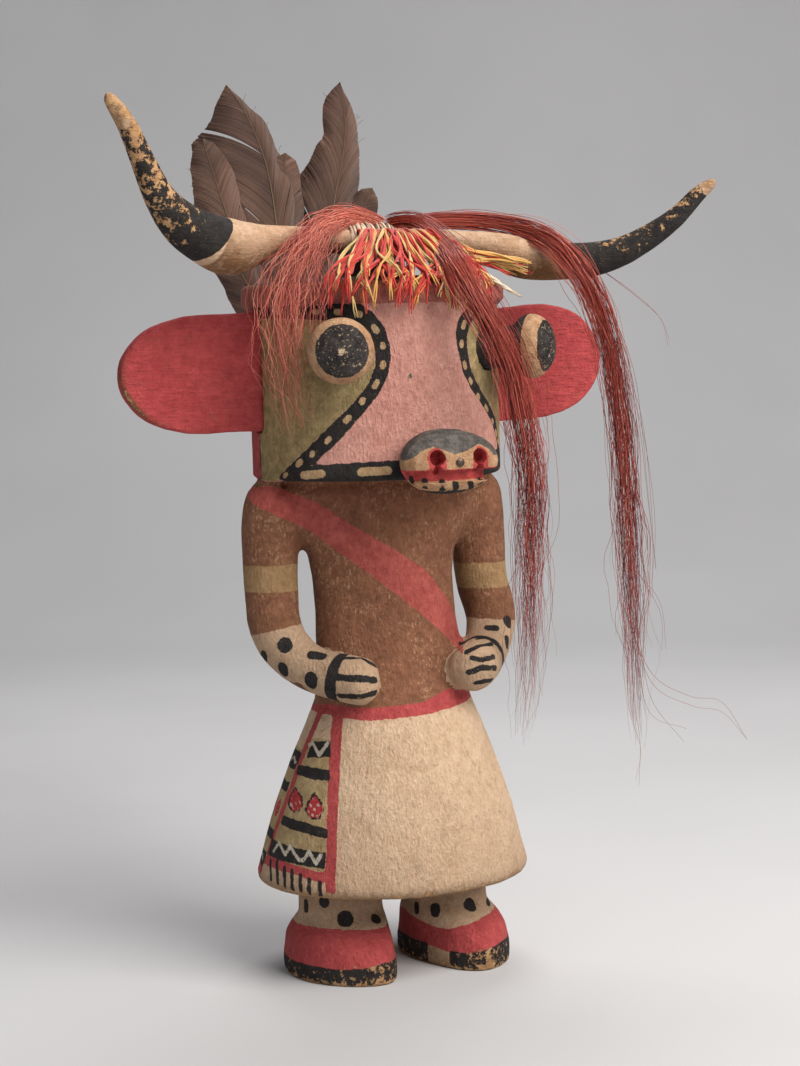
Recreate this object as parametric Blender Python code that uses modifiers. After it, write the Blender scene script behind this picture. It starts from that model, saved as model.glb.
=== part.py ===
"""A carved and painted wooden cow figure with pegged eyes and ears, a crossbar of horns, feathers, hair and yarn.

Units are metres, Z is up, and the figure faces -Y with its soles on Z = 0. Right and left are the figure's own.
It is modelled about the head's upright axis and then centred over the origin.
"""

import math

import bmesh
import bpy
from mathutils import Matrix, Vector

MM = 0.001

# Gap left between two separate pieces, so that their solids never touch
CLEARANCE = 0.3 * MM

# Carved body, from the floor to the underside of the head
BODY_HEIGHT = 182.0 * MM
KILT_BOTTOM = 33.5 * MM
SOLE_THICKNESS = 8.0 * MM
LEG_RADIUS = 15.4 * MM
LEG_SPACING = 42.4 * MM
FOOT_WIDTH = 36.2 * MM
FOOT_LENGTH = 53.4 * MM
FOOT_OUTSET = 3.0 * MM
TOE_SLANT = 0.4
RIGHT_FOOT_SPLAY = 0.0
LEFT_FOOT_SPLAY = 14.0

# Head: an upright cylinder with a brim round its top and a peg that lifts the horns
HEAD_RADIUS = 45.9 * MM
HEAD_HEIGHT = 62.2 * MM
BRIM_OVERHANG = 2.4 * MM
BRIM_THICKNESS = 8.4 * MM
CROWN_RISE = 2.2 * MM
CROWN_PEG_RADIUS = 12.0 * MM

# Ears: boards let into slots in the sides of the head
EAR_THICKNESS = 6.6 * MM
EAR_ROOT_HEIGHT = 43.0 * MM
EAR_BOTTOM = 17.8 * MM
RIGHT_EAR_LENGTH = 52.2 * MM
LEFT_EAR_LENGTH = 47.9 * MM
EAR_SLOT_DEPTH = 4.0 * MM

# Eyes: turned pegs in round sockets
EYE_HEIGHT = 45.9 * MM
EYE_BALL_RADIUS = 11.6 * MM
EYE_BALL_HALF_DEPTH = 8.3 * MM
EYE_REACH = 16.7 * MM
EYE_STEM_RADIUS = 7.8 * MM
EYE_SOCKET_DEPTH = 4.0 * MM
RIGHT_EYE_AZIMUTH, RIGHT_EYE_AIM = -39.5, -17.0
LEFT_EYE_AZIMUTH, LEFT_EYE_AIM = 41.0, 44.0

# Snout: a flattened block nailed to the front of the head
SNOUT_HEIGHT = 7.0 * MM
SNOUT_HALF_WIDTH = 18.0 * MM
SNOUT_HALF_HEIGHT = 11.4 * MM
SNOUT_LENGTH = 26.6 * MM
MOUTH_DROP = 4.7 * MM
MOUTH_GAP = 4.0 * MM
MOUTH_DEPTH = 3.2 * MM
NOSTRIL_RADIUS = 2.7 * MM
NOSTRIL_SPACING = 16.0 * MM
NOSTRIL_RISE = 1.7 * MM
NOSTRIL_DEPTH = 4.5 * MM
NAIL_HEAD_RADIUS = 1.5 * MM
NAIL_SHANK_RADIUS = 0.7 * MM
NAIL_BITE = 8.0 * MM

# Horns: one bar over the crown, swept forward and turned up at both ends
HORN_BAR_RISE = 15.0 * MM
HORN_REACH = 115.3 * MM
HORN_BAR_RADIUS = 5.2 * MM
HORN_SWEEP = 0.45
HORN_BAR_DIP = 0.6 * MM
WRAP_THICKNESS = 0.9 * MM
WRAP_LENGTH = 27.0 * MM

# Soft pieces
FEATHER_THICKNESS = 1.0 * MM
FEATHER_ROOT = 38.0 * MM
FEATHER_REACH = 152.0 * MM
FEATHER_LEAN = 6.0
HAIR_LOCK_RADIUS = 2.3 * MM
HAIR_DROP = 195.6 * MM
YARN_DROP = 11.0 * MM
YARN_SPREAD = (-38.0, 33.0)
CORD_RADIUS = 0.7 * MM

BODY_VOXEL = 1.1 * MM
HORN_CORNERS = 12
BODY_TRIANGLES = 2950

HEAD_BOTTOM = BODY_HEIGHT
HEAD_TOP = HEAD_BOTTOM + HEAD_HEIGHT
BRIM_RADIUS = HEAD_RADIUS + BRIM_OVERHANG
BRIM_TOP = HEAD_TOP + BRIM_THICKNESS
BAR_Z = BRIM_TOP + HORN_BAR_RISE
WRAP_RADIUS = HORN_BAR_RADIUS + CLEARANCE + WRAP_THICKNESS


def clear_scene():
    for obj in list(bpy.data.objects):
        bpy.data.objects.remove(obj, do_unlink=True)


def material(name, colour, roughness, metallic=0.0):
    made = bpy.data.materials.new(name)
    made.use_nodes = True
    shader = made.node_tree.nodes["Principled BSDF"]
    shader.inputs["Base Color"].default_value = (*colour, 1.0)
    shader.inputs["Roughness"].default_value = roughness
    shader.inputs["Metallic"].default_value = metallic
    return made


def around_head(azimuth, radius, z):
    """A point at that angle from straight ahead, counted towards the figure's left, and that far from the head's axis."""
    turn = math.radians(azimuth)
    return Vector((radius * math.sin(turn), -radius * math.cos(turn), z))


def add_object(name, mesh, look=None):
    obj = bpy.data.objects.new(name, mesh)
    bpy.context.scene.collection.objects.link(obj)
    if look:
        obj.data.materials.append(look)
    return obj


def mesh_from(name, bm):
    bmesh.ops.recalc_face_normals(bm, faces=bm.faces)
    mesh = bpy.data.meshes.new(name)
    bm.to_mesh(mesh)
    bm.free()
    return mesh


def evaluated(obj, name):
    """Replaces an object by a plain mesh object of what its modifiers or its curve make."""
    graph = bpy.context.evaluated_depsgraph_get()
    mesh = bpy.data.meshes.new_from_object(obj.evaluated_get(graph))
    place = obj.matrix_world.copy()
    looks = list(obj.data.materials)
    bpy.data.objects.remove(obj, do_unlink=True)
    bm = bmesh.new()
    bm.from_mesh(mesh)
    bmesh.ops.transform(bm, matrix=place, verts=bm.verts)
    bmesh.ops.remove_doubles(bm, verts=bm.verts, dist=1e-6)
    bmesh.ops.dissolve_degenerate(bm, edges=bm.edges, dist=1e-6)
    made = add_object(name, mesh_from(name, bm))
    made.data.name = name
    for look in looks:
        made.data.materials.append(look)
    return made


def loft(name, rings, sides=32, square=2.0):
    """A closed skin over level ovals, each (z, half width, half depth, centre x, centre y), squarer above 2."""
    bm = bmesh.new()
    loops = []
    for z, wide, deep, x, y in rings:
        made = bmesh.ops.create_circle(bm, segments=sides, radius=1.0)
        for vert in made["verts"]:
            vert.co *= (abs(vert.co.x) ** square + abs(vert.co.y) ** square) ** (-1 / square)
        place = Matrix.Translation((x, y, z)) @ Matrix.Diagonal((wide, deep, 1.0, 1.0))
        bmesh.ops.transform(bm, matrix=place, verts=made["verts"])
        loops.append({edge for vert in made["verts"] for edge in vert.link_edges})
    for below, above in zip(loops, loops[1:]):
        bmesh.ops.bridge_loops(bm, edges=list(below | above))
    for end in (loops[0], loops[-1]):
        bmesh.ops.contextual_create(bm, geom=list(end))
    return add_object(name, mesh_from(name, bm))


def swept(name, path, look=None, corners=8, steps=4):
    """A closed round bar along a smooth path of (point, radius)."""
    curve = bpy.data.curves.new(name, "CURVE")
    curve.dimensions = "3D"
    curve.bevel_depth = 1.0
    curve.bevel_resolution = (corners - 4) // 2
    curve.resolution_u = steps
    curve.use_fill_caps = True
    spline = curve.splines.new("BEZIER")
    spline.bezier_points.add(len(path) - 1)
    for knot, (point, radius) in zip(spline.bezier_points, path):
        knot.co = point
        knot.radius = radius
        knot.handle_left_type = knot.handle_right_type = "AUTO"
    spline.radius_interpolation = "CARDINAL"
    return evaluated(add_object(name, curve, look), name)


def turned(name, profile, look=None, sides=48):
    """A solid of revolution about local Z, from a profile of (radius, z) that starts and ends on the axis."""
    bm = bmesh.new()
    verts = [bm.verts.new((radius, 0.0, z)) for radius, z in profile]
    for start, end in zip(verts, verts[1:]):
        bm.edges.new((start, end))
    mesh = bpy.data.meshes.new(name)
    bm.to_mesh(mesh)
    bm.free()
    obj = add_object(name, mesh, look)
    screw = obj.modifiers.new("turn", "SCREW")
    screw.steps = screw.render_steps = sides
    screw.use_merge_vertices = True
    screw.merge_threshold = 1e-6
    return obj


def board(name, outline, thickness, edge, look=None, steps=4):
    """A flat board from a closed outline of (x, y, rounded), its edges eased by that much, centred on local Z = 0."""
    curve = bpy.data.curves.new(name, "CURVE")
    curve.dimensions = "2D"
    curve.fill_mode = "BOTH"
    curve.resolution_u = steps
    curve.extrude = thickness / 2 - edge
    curve.bevel_depth = edge
    curve.bevel_resolution = 0 if edge == 0 else 1
    curve.offset = -edge
    spline = curve.splines.new("BEZIER")
    spline.bezier_points.add(len(outline) - 1)
    for knot, (x, y, rounded) in zip(spline.bezier_points, outline):
        knot.co = (x, y, 0.0)
        kind = "AUTO" if rounded else "VECTOR"
        knot.handle_left_type = knot.handle_right_type = kind
    spline.use_cyclic_u = True
    return add_object(name, curve, look)


def boolean(obj, other, operation):
    """Applies one exact Boolean and removes the other object."""
    modifier = obj.modifiers.new(operation.lower(), "BOOLEAN")
    modifier.operation = operation
    modifier.solver = "EXACT"
    modifier.object = other
    name = obj.name
    obj.name = name + "_blank"
    made = evaluated(obj, name)
    bpy.data.objects.remove(other, do_unlink=True)
    return made


def cylinder(name, radius, start, end, sides=24):
    """A cylinder from one point to another."""
    axis = end - start
    turn = axis.to_track_quat("Z", "Y").to_matrix().to_4x4()
    place = Matrix.Translation((start + end) / 2) @ turn
    bm = bmesh.new()
    bmesh.ops.create_cone(
        bm, cap_ends=True, segments=sides, radius1=radius, radius2=radius, depth=axis.length, matrix=place
    )
    return add_object(name, mesh_from(name, bm))


def block(name, low, high):
    """A box between two corners."""
    low, high = Vector(low), Vector(high)
    place = Matrix.Translation((low + high) / 2) @ Matrix.Diagonal((*(high - low), 1.0))
    bm = bmesh.new()
    bmesh.ops.create_cube(bm, size=1.0, matrix=place)
    return add_object(name, mesh_from(name, bm))


def body_share(value):
    """A length of the carved body, given as thousandths of its height."""
    return value * BODY_HEIGHT / 1000


def torso():
    """Neck, chest and waist, leaning a little forward at the waist."""
    rings = [
        (500, 164, 128, -50),
        (560, 162, 124, -50),
        (620, 156, 112, -42),
        (716, 149, 102, -27),
        (800, 150, 104, -16),
        (850, 158, 108, -10),
        (885, 192, 110, -5),
        (925, 228, 108, 0),
        (975, 226, 104, 0),
        (991, 208, 96, 0),
        (993, 150, 80, 0),
        (1030, 150, 80, 0),
    ]
    return loft("torso", [(body_share(z), body_share(w), body_share(d), 0.0, body_share(y)) for z, w, d, y in rings])


def kilt(steps=10):
    """A bell that widens almost evenly from the waist to a rounded hem."""
    waist_z, waist, hem = body_share(548), body_share(165), body_share(283)
    waist_depth, hem_depth = body_share(130), body_share(252)
    waist_y, hem_y = body_share(-50), body_share(-28)
    hem_z = KILT_BOTTOM + body_share(16)
    rings = [(waist_z + body_share(8), waist * 0.96, waist_depth * 0.96, 0.0, waist_y)]
    for step in range(steps + 1):
        t = step / steps
        swell = t + 0.08 * math.sin(math.pi * t)
        rings.append(
            (
                waist_z + (hem_z - waist_z) * t,
                waist + (hem - waist) * swell,
                waist_depth + (hem_depth - waist_depth) * swell,
                0.0,
                waist_y + (hem_y - waist_y) * t,
            )
        )
    rings.append((KILT_BOTTOM + body_share(5), hem * 0.985, hem_depth * 0.985, 0.0, hem_y))
    rings.append((KILT_BOTTOM, hem * 0.955, hem_depth * 0.955, 0.0, hem_y))
    return loft("kilt", rings, sides=48)


def arm(side, shoulder, lift):
    """One arm, from a square shoulder that far out, bent forward to a closed hand, with the forearm lifted."""
    path = [
        ((shoulder - 14, 0, 986), 40),
        ((shoulder - 6, 0, 966), 55),
        ((shoulder, 2, 925), 60),
        ((shoulder + 5, 2, 833), 57),
        ((shoulder + 7, -6, 768), 55),
        ((238, -22, 707), 54),
        ((219, -55, 655 + lift), 50),
        ((186, -100, 624 + lift), 47),
        ((150, -145, 612 + lift), 48),
        ((123, -173, 606 + lift), 50),
        ((108, -186, 603 + lift), 46),
        ((99, -195, 602 + lift), 30),
        ((94, -200, 602 + lift), 8),
    ]
    points = [
        (Vector((side * body_share(x), body_share(y), body_share(z))), body_share(radius)) for (x, y, z), radius in path
    ]
    return swept("arm", points, corners=16)


def leg_and_foot(side, splay):
    """A straight leg on a broad moccasin, longest at the big toe and turned outward by the splay."""
    ankle = Vector((side * LEG_SPACING / 2, -4.5 * MM, 0.0))
    leg_base = 16.0 * MM
    leg = loft(
        "leg",
        [
            (leg_base, LEG_RADIUS * 1.02, LEG_RADIUS * 1.05, ankle.x, ankle.y),
            (KILT_BOTTOM + body_share(60), LEG_RADIUS, LEG_RADIUS, ankle.x, ankle.y),
        ],
    )
    wide, long = FOOT_WIDTH / 2, FOOT_LENGTH / 2
    below, toe, out = -2.0 * MM, -long * 0.1, side * FOOT_OUTSET
    rings = [
        (below, wide, long, out, toe),
        (SOLE_THICKNESS * 0.9, wide, long, out, toe),
        (SOLE_THICKNESS * 1.1, wide * 0.965, long * 0.97, out, toe),
        (SOLE_THICKNESS * 1.7, wide * 0.97, long * 0.91, out * 0.9, toe * 0.85),
        (SOLE_THICKNESS * 2.15, wide * 0.93, long * 0.78, out * 0.6, toe * 0.45),
        (SOLE_THICKNESS * 2.5, LEG_RADIUS * 1.03, LEG_RADIUS * 1.15, out * 0.1, 0.0),
        (SOLE_THICKNESS * 2.7, LEG_RADIUS, LEG_RADIUS, 0.0, 0.0),
    ]
    foot = loft("foot", rings, square=2.3)
    for vert in foot.data.vertices:
        vert.co.y += max(0.0, -vert.co.y / long) * side * (vert.co.x - out) * TOE_SLANT
    foot.data.transform(Matrix.Translation(ankle) @ Matrix.Rotation(side * math.radians(splay), 4, "Z"))
    return [leg, foot]


def carved_figure():
    """The lower figure as one skin: the limbs are fused, smoothed and cut flat under the soles."""
    limbs = [torso(), kilt(), arm(-1, 231, 2), arm(1, 221, 9)]
    limbs += leg_and_foot(-1, RIGHT_FOOT_SPLAY) + leg_and_foot(1, LEFT_FOOT_SPLAY)
    bm = bmesh.new()
    for limb in limbs:
        bm.from_mesh(limb.data)
        bpy.data.objects.remove(limb, do_unlink=True)
    fused = add_object("figure_blank", mesh_from("figure_blank", bm))
    remesh = fused.modifiers.new("fuse", "REMESH")
    remesh.mode = "VOXEL"
    remesh.voxel_size = BODY_VOXEL
    smooth = fused.modifiers.new("smooth", "SMOOTH")
    smooth.factor = 0.5
    smooth.iterations = 5
    fused = evaluated(fused, "figure")
    thin = fused.modifiers.new("thin", "DECIMATE")
    thin.ratio = BODY_TRIANGLES / (2 * len(fused.data.polygons))
    figure = evaluated(fused, "body")
    reach = body_share(500)
    return boolean(figure, block("floor_cut", (-reach, -reach, -reach), (reach, reach, 0.0)), "DIFFERENCE")


def head():
    """The head's cylinder, brim, low crown and peg, all turned in one."""
    ease = 1.0 * MM
    peg_top = BAR_Z - HORN_BAR_DIP - WRAP_RADIUS - CLEARANCE
    crown = BRIM_TOP + CROWN_RISE
    profile = [
        (0.0, HEAD_BOTTOM),
        (HEAD_RADIUS - ease, HEAD_BOTTOM),
        (HEAD_RADIUS, HEAD_BOTTOM + ease),
        (HEAD_RADIUS, HEAD_TOP),
        (BRIM_RADIUS, HEAD_TOP + ease),
        (BRIM_RADIUS, BRIM_TOP - ease * 1.5),
        (BRIM_RADIUS - ease, BRIM_TOP),
        (HEAD_RADIUS * 0.7, BRIM_TOP + CROWN_RISE * 0.7),
        (CROWN_PEG_RADIUS, crown),
        (CROWN_PEG_RADIUS, peg_top - ease),
        (CROWN_PEG_RADIUS - ease, peg_top),
        (0.0, peg_top),
    ]
    return evaluated(turned("head_turned", profile, sides=60), "head_turned")


def eye_axis(azimuth, aim):
    """Where an eye's stem meets the head, and the way that it points."""
    base = around_head(azimuth, HEAD_RADIUS, HEAD_BOTTOM + EYE_HEIGHT)
    return base, around_head(aim, 1.0, 0.0)


def body(look):
    """Head and figure in one piece of wood, with slots for the ears, sockets for the eyes and a hole for the nail."""
    made = boolean(carved_figure(), head(), "UNION")
    for side in (-1, 1):
        ends = sorted((side * (HEAD_RADIUS - EAR_SLOT_DEPTH), side * (BRIM_RADIUS + 5 * MM)))
        half = EAR_THICKNESS / 2 + CLEARANCE
        low = HEAD_BOTTOM + EAR_BOTTOM - CLEARANCE
        slot = block("ear_slot", (ends[0], -half, low), (ends[1], half, low + EAR_ROOT_HEIGHT + 2 * CLEARANCE))
        made = boolean(made, slot, "DIFFERENCE")
    for azimuth, aim in ((RIGHT_EYE_AZIMUTH, RIGHT_EYE_AIM), (LEFT_EYE_AZIMUTH, LEFT_EYE_AIM)):
        base, way = eye_axis(azimuth, aim)
        radius = EYE_STEM_RADIUS + CLEARANCE
        start = base - way * (EYE_SOCKET_DEPTH + CLEARANCE)
        made = boolean(made, cylinder("eye_socket", radius, start, base + way * 12 * MM), "DIFFERENCE")
    made = boolean(made, nail_hole(), "DIFFERENCE")
    made.data.materials.append(look)
    return made


def nail_hole():
    z = HEAD_BOTTOM + SNOUT_HEIGHT
    inner = Vector((0.0, -HEAD_RADIUS + NAIL_BITE + CLEARANCE, z))
    outer = Vector((0.0, -HEAD_RADIUS - SNOUT_LENGTH - 5 * MM, z))
    return cylinder("nail_hole", NAIL_SHANK_RADIUS + CLEARANCE, inner, outer, sides=10)


def ear(name, side, length, top_fall, bottom_rise, look):
    """A board with a broad round end, whose top edge falls and bottom edge rises by those amounts towards it."""
    root = HEAD_RADIUS - EAR_SLOT_DEPTH + CLEARANCE
    tip = HEAD_RADIUS + length
    low, high = EAR_BOTTOM, EAR_BOTTOM + EAR_ROOT_HEIGHT
    tip_low, tip_high = low + bottom_rise, high - top_fall
    shoulder = tip - 17 * MM
    outline = [
        (root, low, False),
        (HEAD_RADIUS + 5 * MM, low, False),
        (shoulder, tip_low + 1.4 * MM, True),
        (tip - 4.6 * MM, tip_low + 9.5 * MM, True),
        (tip, (tip_low + tip_high) / 2, True),
        (tip - 4.6 * MM, tip_high - 8.5 * MM, True),
        (shoulder, tip_high - 0.6 * MM, True),
        (HEAD_RADIUS + 5 * MM, high, False),
        (root, high, False),
    ]
    made = board(name, outline, EAR_THICKNESS, 1.4 * MM, look)
    mirror = Matrix.Diagonal((side, 1.0, 1.0, 1.0))
    made.matrix_world = mirror @ Matrix.Translation((0.0, 0.0, HEAD_BOTTOM)) @ Matrix.Rotation(math.pi / 2, 4, "X")
    bpy.context.view_layer.update()
    return evaluated(made, name)


def eye(name, azimuth, aim, look):
    """A short stem with a flattened ball on its end."""
    base, way = eye_axis(azimuth, aim)
    centre = EYE_REACH
    profile = [(0.0, -EYE_SOCKET_DEPTH), (EYE_STEM_RADIUS, -EYE_SOCKET_DEPTH)]
    start = math.asin(EYE_STEM_RADIUS / EYE_BALL_RADIUS)
    steps = 7
    for step in range(steps + 1):
        turn = math.pi - start - (math.pi - start) * step / steps
        profile.append((EYE_BALL_RADIUS * math.sin(turn), centre + EYE_BALL_HALF_DEPTH * math.cos(turn)))
    profile[-1] = (0.0, centre + EYE_BALL_HALF_DEPTH)
    made = turned(name + "_turned", profile, look, sides=24)
    made.matrix_world = Matrix.Translation(base) @ way.to_track_quat("Z", "Y").to_matrix().to_4x4()
    bpy.context.view_layer.update()
    return evaluated(made, name)


def snout(look):
    """A flattened block, hollowed behind to fit the head, with a mouth groove and two drilled nostrils."""
    back = 6.0 * MM
    length = SNOUT_LENGTH
    rings = [
        (-back, 0.52, 0.80),
        (length * 0.05, 0.60, 0.85),
        (length * 0.22, 0.72, 0.93),
        (length * 0.42, 0.88, 1.0),
        (length * 0.60, 0.98, 1.0),
        (length * 0.75, 1.0, 0.95),
        (length * 0.88, 0.88, 0.80),
        (length * 0.96, 0.66, 0.58),
        (length, 0.38, 0.30),
    ]
    blank = loft("snout", [(z, SNOUT_HALF_WIDTH * w, SNOUT_HALF_HEIGHT * h, 0.0, 0.0) for z, w, h in rings], sides=24)
    z = HEAD_BOTTOM + SNOUT_HEIGHT
    front = -HEAD_RADIUS - length
    blank.data.transform(Matrix.Translation((0.0, -HEAD_RADIUS, z)) @ Matrix.Rotation(math.pi / 2, 4, "X"))
    made = boolean(blank, mouth_cutter(front, z - MOUTH_DROP), "DIFFERENCE")
    for side in (-1, 1):
        x = side * NOSTRIL_SPACING / 2
        top = Vector((x, 0.0, z + NOSTRIL_RISE))
        start, end = Vector((x * 1.1, front - 5 * MM, 0.0)), Vector((x * 0.9, front + NOSTRIL_DEPTH + 2 * MM, 0.0))
        start.z = end.z = top.z
        made = boolean(made, cylinder("nostril", NOSTRIL_RADIUS, start, end, sides=14), "DIFFERENCE")
        start.z = end.z = z - MOUTH_DROP / 2
        made = boolean(made, cylinder("nostril_notch", NOSTRIL_RADIUS * 0.55, start, end, sides=10), "DIFFERENCE")
    head_clear = cylinder(
        "head_clear", HEAD_RADIUS + CLEARANCE, Vector((0, 0, z - 40 * MM)), Vector((0, 0, z + 40 * MM)), sides=72
    )
    made = boolean(made, head_clear, "DIFFERENCE")
    made = boolean(made, nail_hole(), "DIFFERENCE")
    made.data.materials.clear()
    made.data.materials.append(look)
    return made


def mouth_cutter(front, z):
    """A flat slab less an oval core, so that the groove keeps one depth round the front of the snout."""
    reach = SNOUT_HALF_WIDTH * 1.5
    back = front + SNOUT_LENGTH * 0.52
    slab = block("mouth", (-reach, front - 5 * MM, z - MOUTH_GAP / 2), (reach, back, z + MOUTH_GAP / 2))
    core = cylinder("mouth_core", 1.0, Vector((0, 0, -1)), Vector((0, 0, 1)), sides=28)
    wide, deep = SNOUT_HALF_WIDTH - MOUTH_DEPTH, SNOUT_LENGTH * 0.52 - MOUTH_DEPTH
    core.data.transform(Matrix.Translation((0.0, back, z)) @ Matrix.Diagonal((wide, deep, 10 * MM, 1.0)))
    return boolean(slab, core, "DIFFERENCE")


def nail(look):
    """A round-headed nail that holds the snout on."""
    shank_end = -NAIL_BITE
    head_seat = SNOUT_LENGTH + CLEARANCE
    profile = [
        (0.0, shank_end),
        (NAIL_SHANK_RADIUS, shank_end + 1.5 * MM),
        (NAIL_SHANK_RADIUS, head_seat),
        (NAIL_HEAD_RADIUS, head_seat),
        (NAIL_HEAD_RADIUS * 0.9, head_seat + 0.5 * MM),
        (0.0, head_seat + 0.7 * MM),
    ]
    made = turned("snout_nail_turned", profile, look, sides=12)
    place = Matrix.Translation((0.0, -HEAD_RADIUS, HEAD_BOTTOM + SNOUT_HEIGHT))
    made.matrix_world = place @ Matrix.Rotation(math.pi / 2, 4, "X")
    bpy.context.view_layer.update()
    return evaluated(made, "snout_nail")


def horn_path(extra=0.0):
    """The line of the bar and both horns, as (point, radius). The figure's right horn stands higher than its left.
    The lists hold the way out and the rise in thousandths of HORN_REACH, and the thickness in hundredths of the bar's."""
    share = HORN_REACH / 1000
    right = [
        (988, 396, 10),
        (975, 382, 42),
        (923, 318, 67),
        (871, 217, 83),
        (811, 111, 106),
        (733, 36, 150),
        (650, -4, 177),
        (568, -25, 192),
        (488, -18, 154),
        (412, -5, 110),
        (324, 3, 94),
        (173, 3, 96),
    ]
    left = [
        (173, -8, 100),
        (295, -25, 113),
        (377, -42, 131),
        (455, -67, 150),
        (559, -77, 133),
        (655, -72, 121),
        (760, -36, 100),
        (877, 44, 75),
        (949, 119, 58),
        (989, 154, 37),
        (1000, 165, 10),
    ]
    path = []
    for side, points in ((-1, right), (0, [(0, 0, 100)]), (1, left)):
        for x, z, radius in points:
            point = Vector((side * x * share, -HORN_SWEEP * x * share, BAR_Z + z * share))
            path.append((point, radius * HORN_BAR_RADIUS / 100 + extra))
    return path


def horns(look):
    """The bar and both horns as one sweep."""
    return swept("horns", horn_path(), look, corners=HORN_CORNERS, steps=2)


def tie_wrap(look):
    """A cotton wrap round the middle of the bar."""
    half = WRAP_LENGTH / 2
    made = swept("tie_wrap", horn_path(CLEARANCE + WRAP_THICKNESS), look, corners=HORN_CORNERS, steps=2)
    core = swept("wrap_core", horn_path(CLEARANCE), corners=HORN_CORNERS, steps=2)
    made = boolean(made, core, "DIFFERENCE")
    reach = WRAP_LENGTH
    return boolean(made, block("wrap_span", (-half, -reach, BAR_Z - reach), (half, reach, BAR_Z + reach)), "INTERSECT")


def feather(name, root, tip, depth, width, bend, look):
    """A flat blade from its quill end to its tip, both (x, z) above the head's underside, leaning back from its root."""
    run = Vector(tip) - Vector(root)
    length = run.length
    sides = [(0.14, 0.16), (0.45, 0.46), (0.76, 0.5), (0.93, 0.28)]
    outline = [(0.0, -0.9 * MM, True)]
    outline += [(length * along, bend * along - width * half, True) for along, half in sides]
    outline += [(length, 0.0, True)]
    outline += [(length * along, bend * along + width * half, True) for along, half in reversed(sides)]
    outline += [(0.0, 0.9 * MM, True)]
    made = board(name, outline, FEATHER_THICKNESS, 0.0, look, steps=2)
    place = Matrix.Translation((root[0], depth, HEAD_BOTTOM + root[1]))
    place = place @ Matrix.Rotation(-math.radians(FEATHER_LEAN), 4, "X") @ Matrix.Rotation(math.pi / 2, 4, "X")
    made.matrix_world = place @ Matrix.Rotation(math.atan2(run.y, run.x), 4, "Z")
    bpy.context.view_layer.update()
    return evaluated(made, name)


def feathers(look):
    """Brown feathers that fan up behind the head from one bunch of quills at its back.
    Roots, tips (x, z), widths and bends are in thousandths of FEATHER_REACH, the tallest tip's height over the head's
    underside."""
    share = FEATHER_REACH / 1000
    blades = [
        ("feather_low", -79, (-283, 645), 112, 0),
        ("feather_outer", -86, (-286, 849), 125, 20),
        ("feather_broad", -79, (-224, 984), 164, -20),
        ("feather_inner", -72, (-59, 816), 118, 13),
        ("feather_tall", -66, (105, 1000), 132, -7),
        ("feather_short", -59, (188, 730), 92, 0),
    ]
    step = FEATHER_THICKNESS + 2 * CLEARANCE
    for index, (name, root_x, (tip_x, tip_z), width, bend) in enumerate(blades):
        depth = HEAD_RADIUS + 2.0 * MM + index * step
        root = (root_x * share, FEATHER_ROOT + index * 0.4 * MM)
        feather(name, root, (tip_x * share, tip_z * share), depth, width * share, bend * share, look)


def yarn_fringe(look):
    """The yarn bunch: a pad that follows the front of the brim and hangs over it."""
    rise = BRIM_TOP + CROWN_RISE
    hang = HEAD_TOP + BRIM_THICKNESS - YARN_DROP
    profile = [
        (BRIM_RADIUS * 0.46, rise + 1.0 * MM),
        (BRIM_RADIUS * 0.46, BAR_Z + 4.0 * MM),
        (BRIM_RADIUS * 0.62, BAR_Z + 3.0 * MM),
        (BRIM_RADIUS * 0.88, BAR_Z - 5.5 * MM),
        (BRIM_RADIUS + 3.4 * MM, BRIM_TOP + 1.5 * MM),
        (BRIM_RADIUS + 4.6 * MM, hang),
        (BRIM_RADIUS + CLEARANCE * 2, hang),
        (BRIM_RADIUS + CLEARANCE * 2, BRIM_TOP + 0.6 * MM),
        (BRIM_RADIUS * 0.93, rise),
    ]
    start, end = (math.radians(angle) for angle in YARN_SPREAD)
    bm = bmesh.new()
    verts = [bm.verts.new((radius * math.sin(start), -radius * math.cos(start), z)) for radius, z in profile]
    face = bm.faces.new(verts)
    bmesh.ops.spin(bm, geom=[face, *face.edges, *face.verts], cent=(0, 0, 0), axis=(0, 0, 1), angle=end - start, steps=10)
    return add_object("yarn_fringe", mesh_from("yarn_fringe", bm), look)


def tie_cord_end(look):
    """The loose white end of the tie, lying out over the yarn."""
    z = BRIM_TOP + 4.0 * MM
    path = [
        (around_head(48, BRIM_RADIUS * 0.80, z), CORD_RADIUS),
        (around_head(50, BRIM_RADIUS * 0.98, z - 1.5 * MM), CORD_RADIUS),
        (around_head(50, BRIM_RADIUS + 7 * MM, z - 5.0 * MM), CORD_RADIUS),
    ]
    return swept("tie_cord_end", path, look, corners=6)


def hair_lock(name, route, look):
    """A hanging lock that goes with the bar. Its route holds azimuths, distances from the head's axis in brim radii,
    heights over the bar in thousandths of HAIR_DROP, and thicknesses in lock radii."""
    points = [
        (around_head(azimuth, radius * BRIM_RADIUS, BAR_Z + z * HAIR_DROP / 1000), HAIR_LOCK_RADIUS * thick)
        for azimuth, radius, z, thick in route
    ]
    return swept(name, points, look, corners=6, steps=2)


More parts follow.
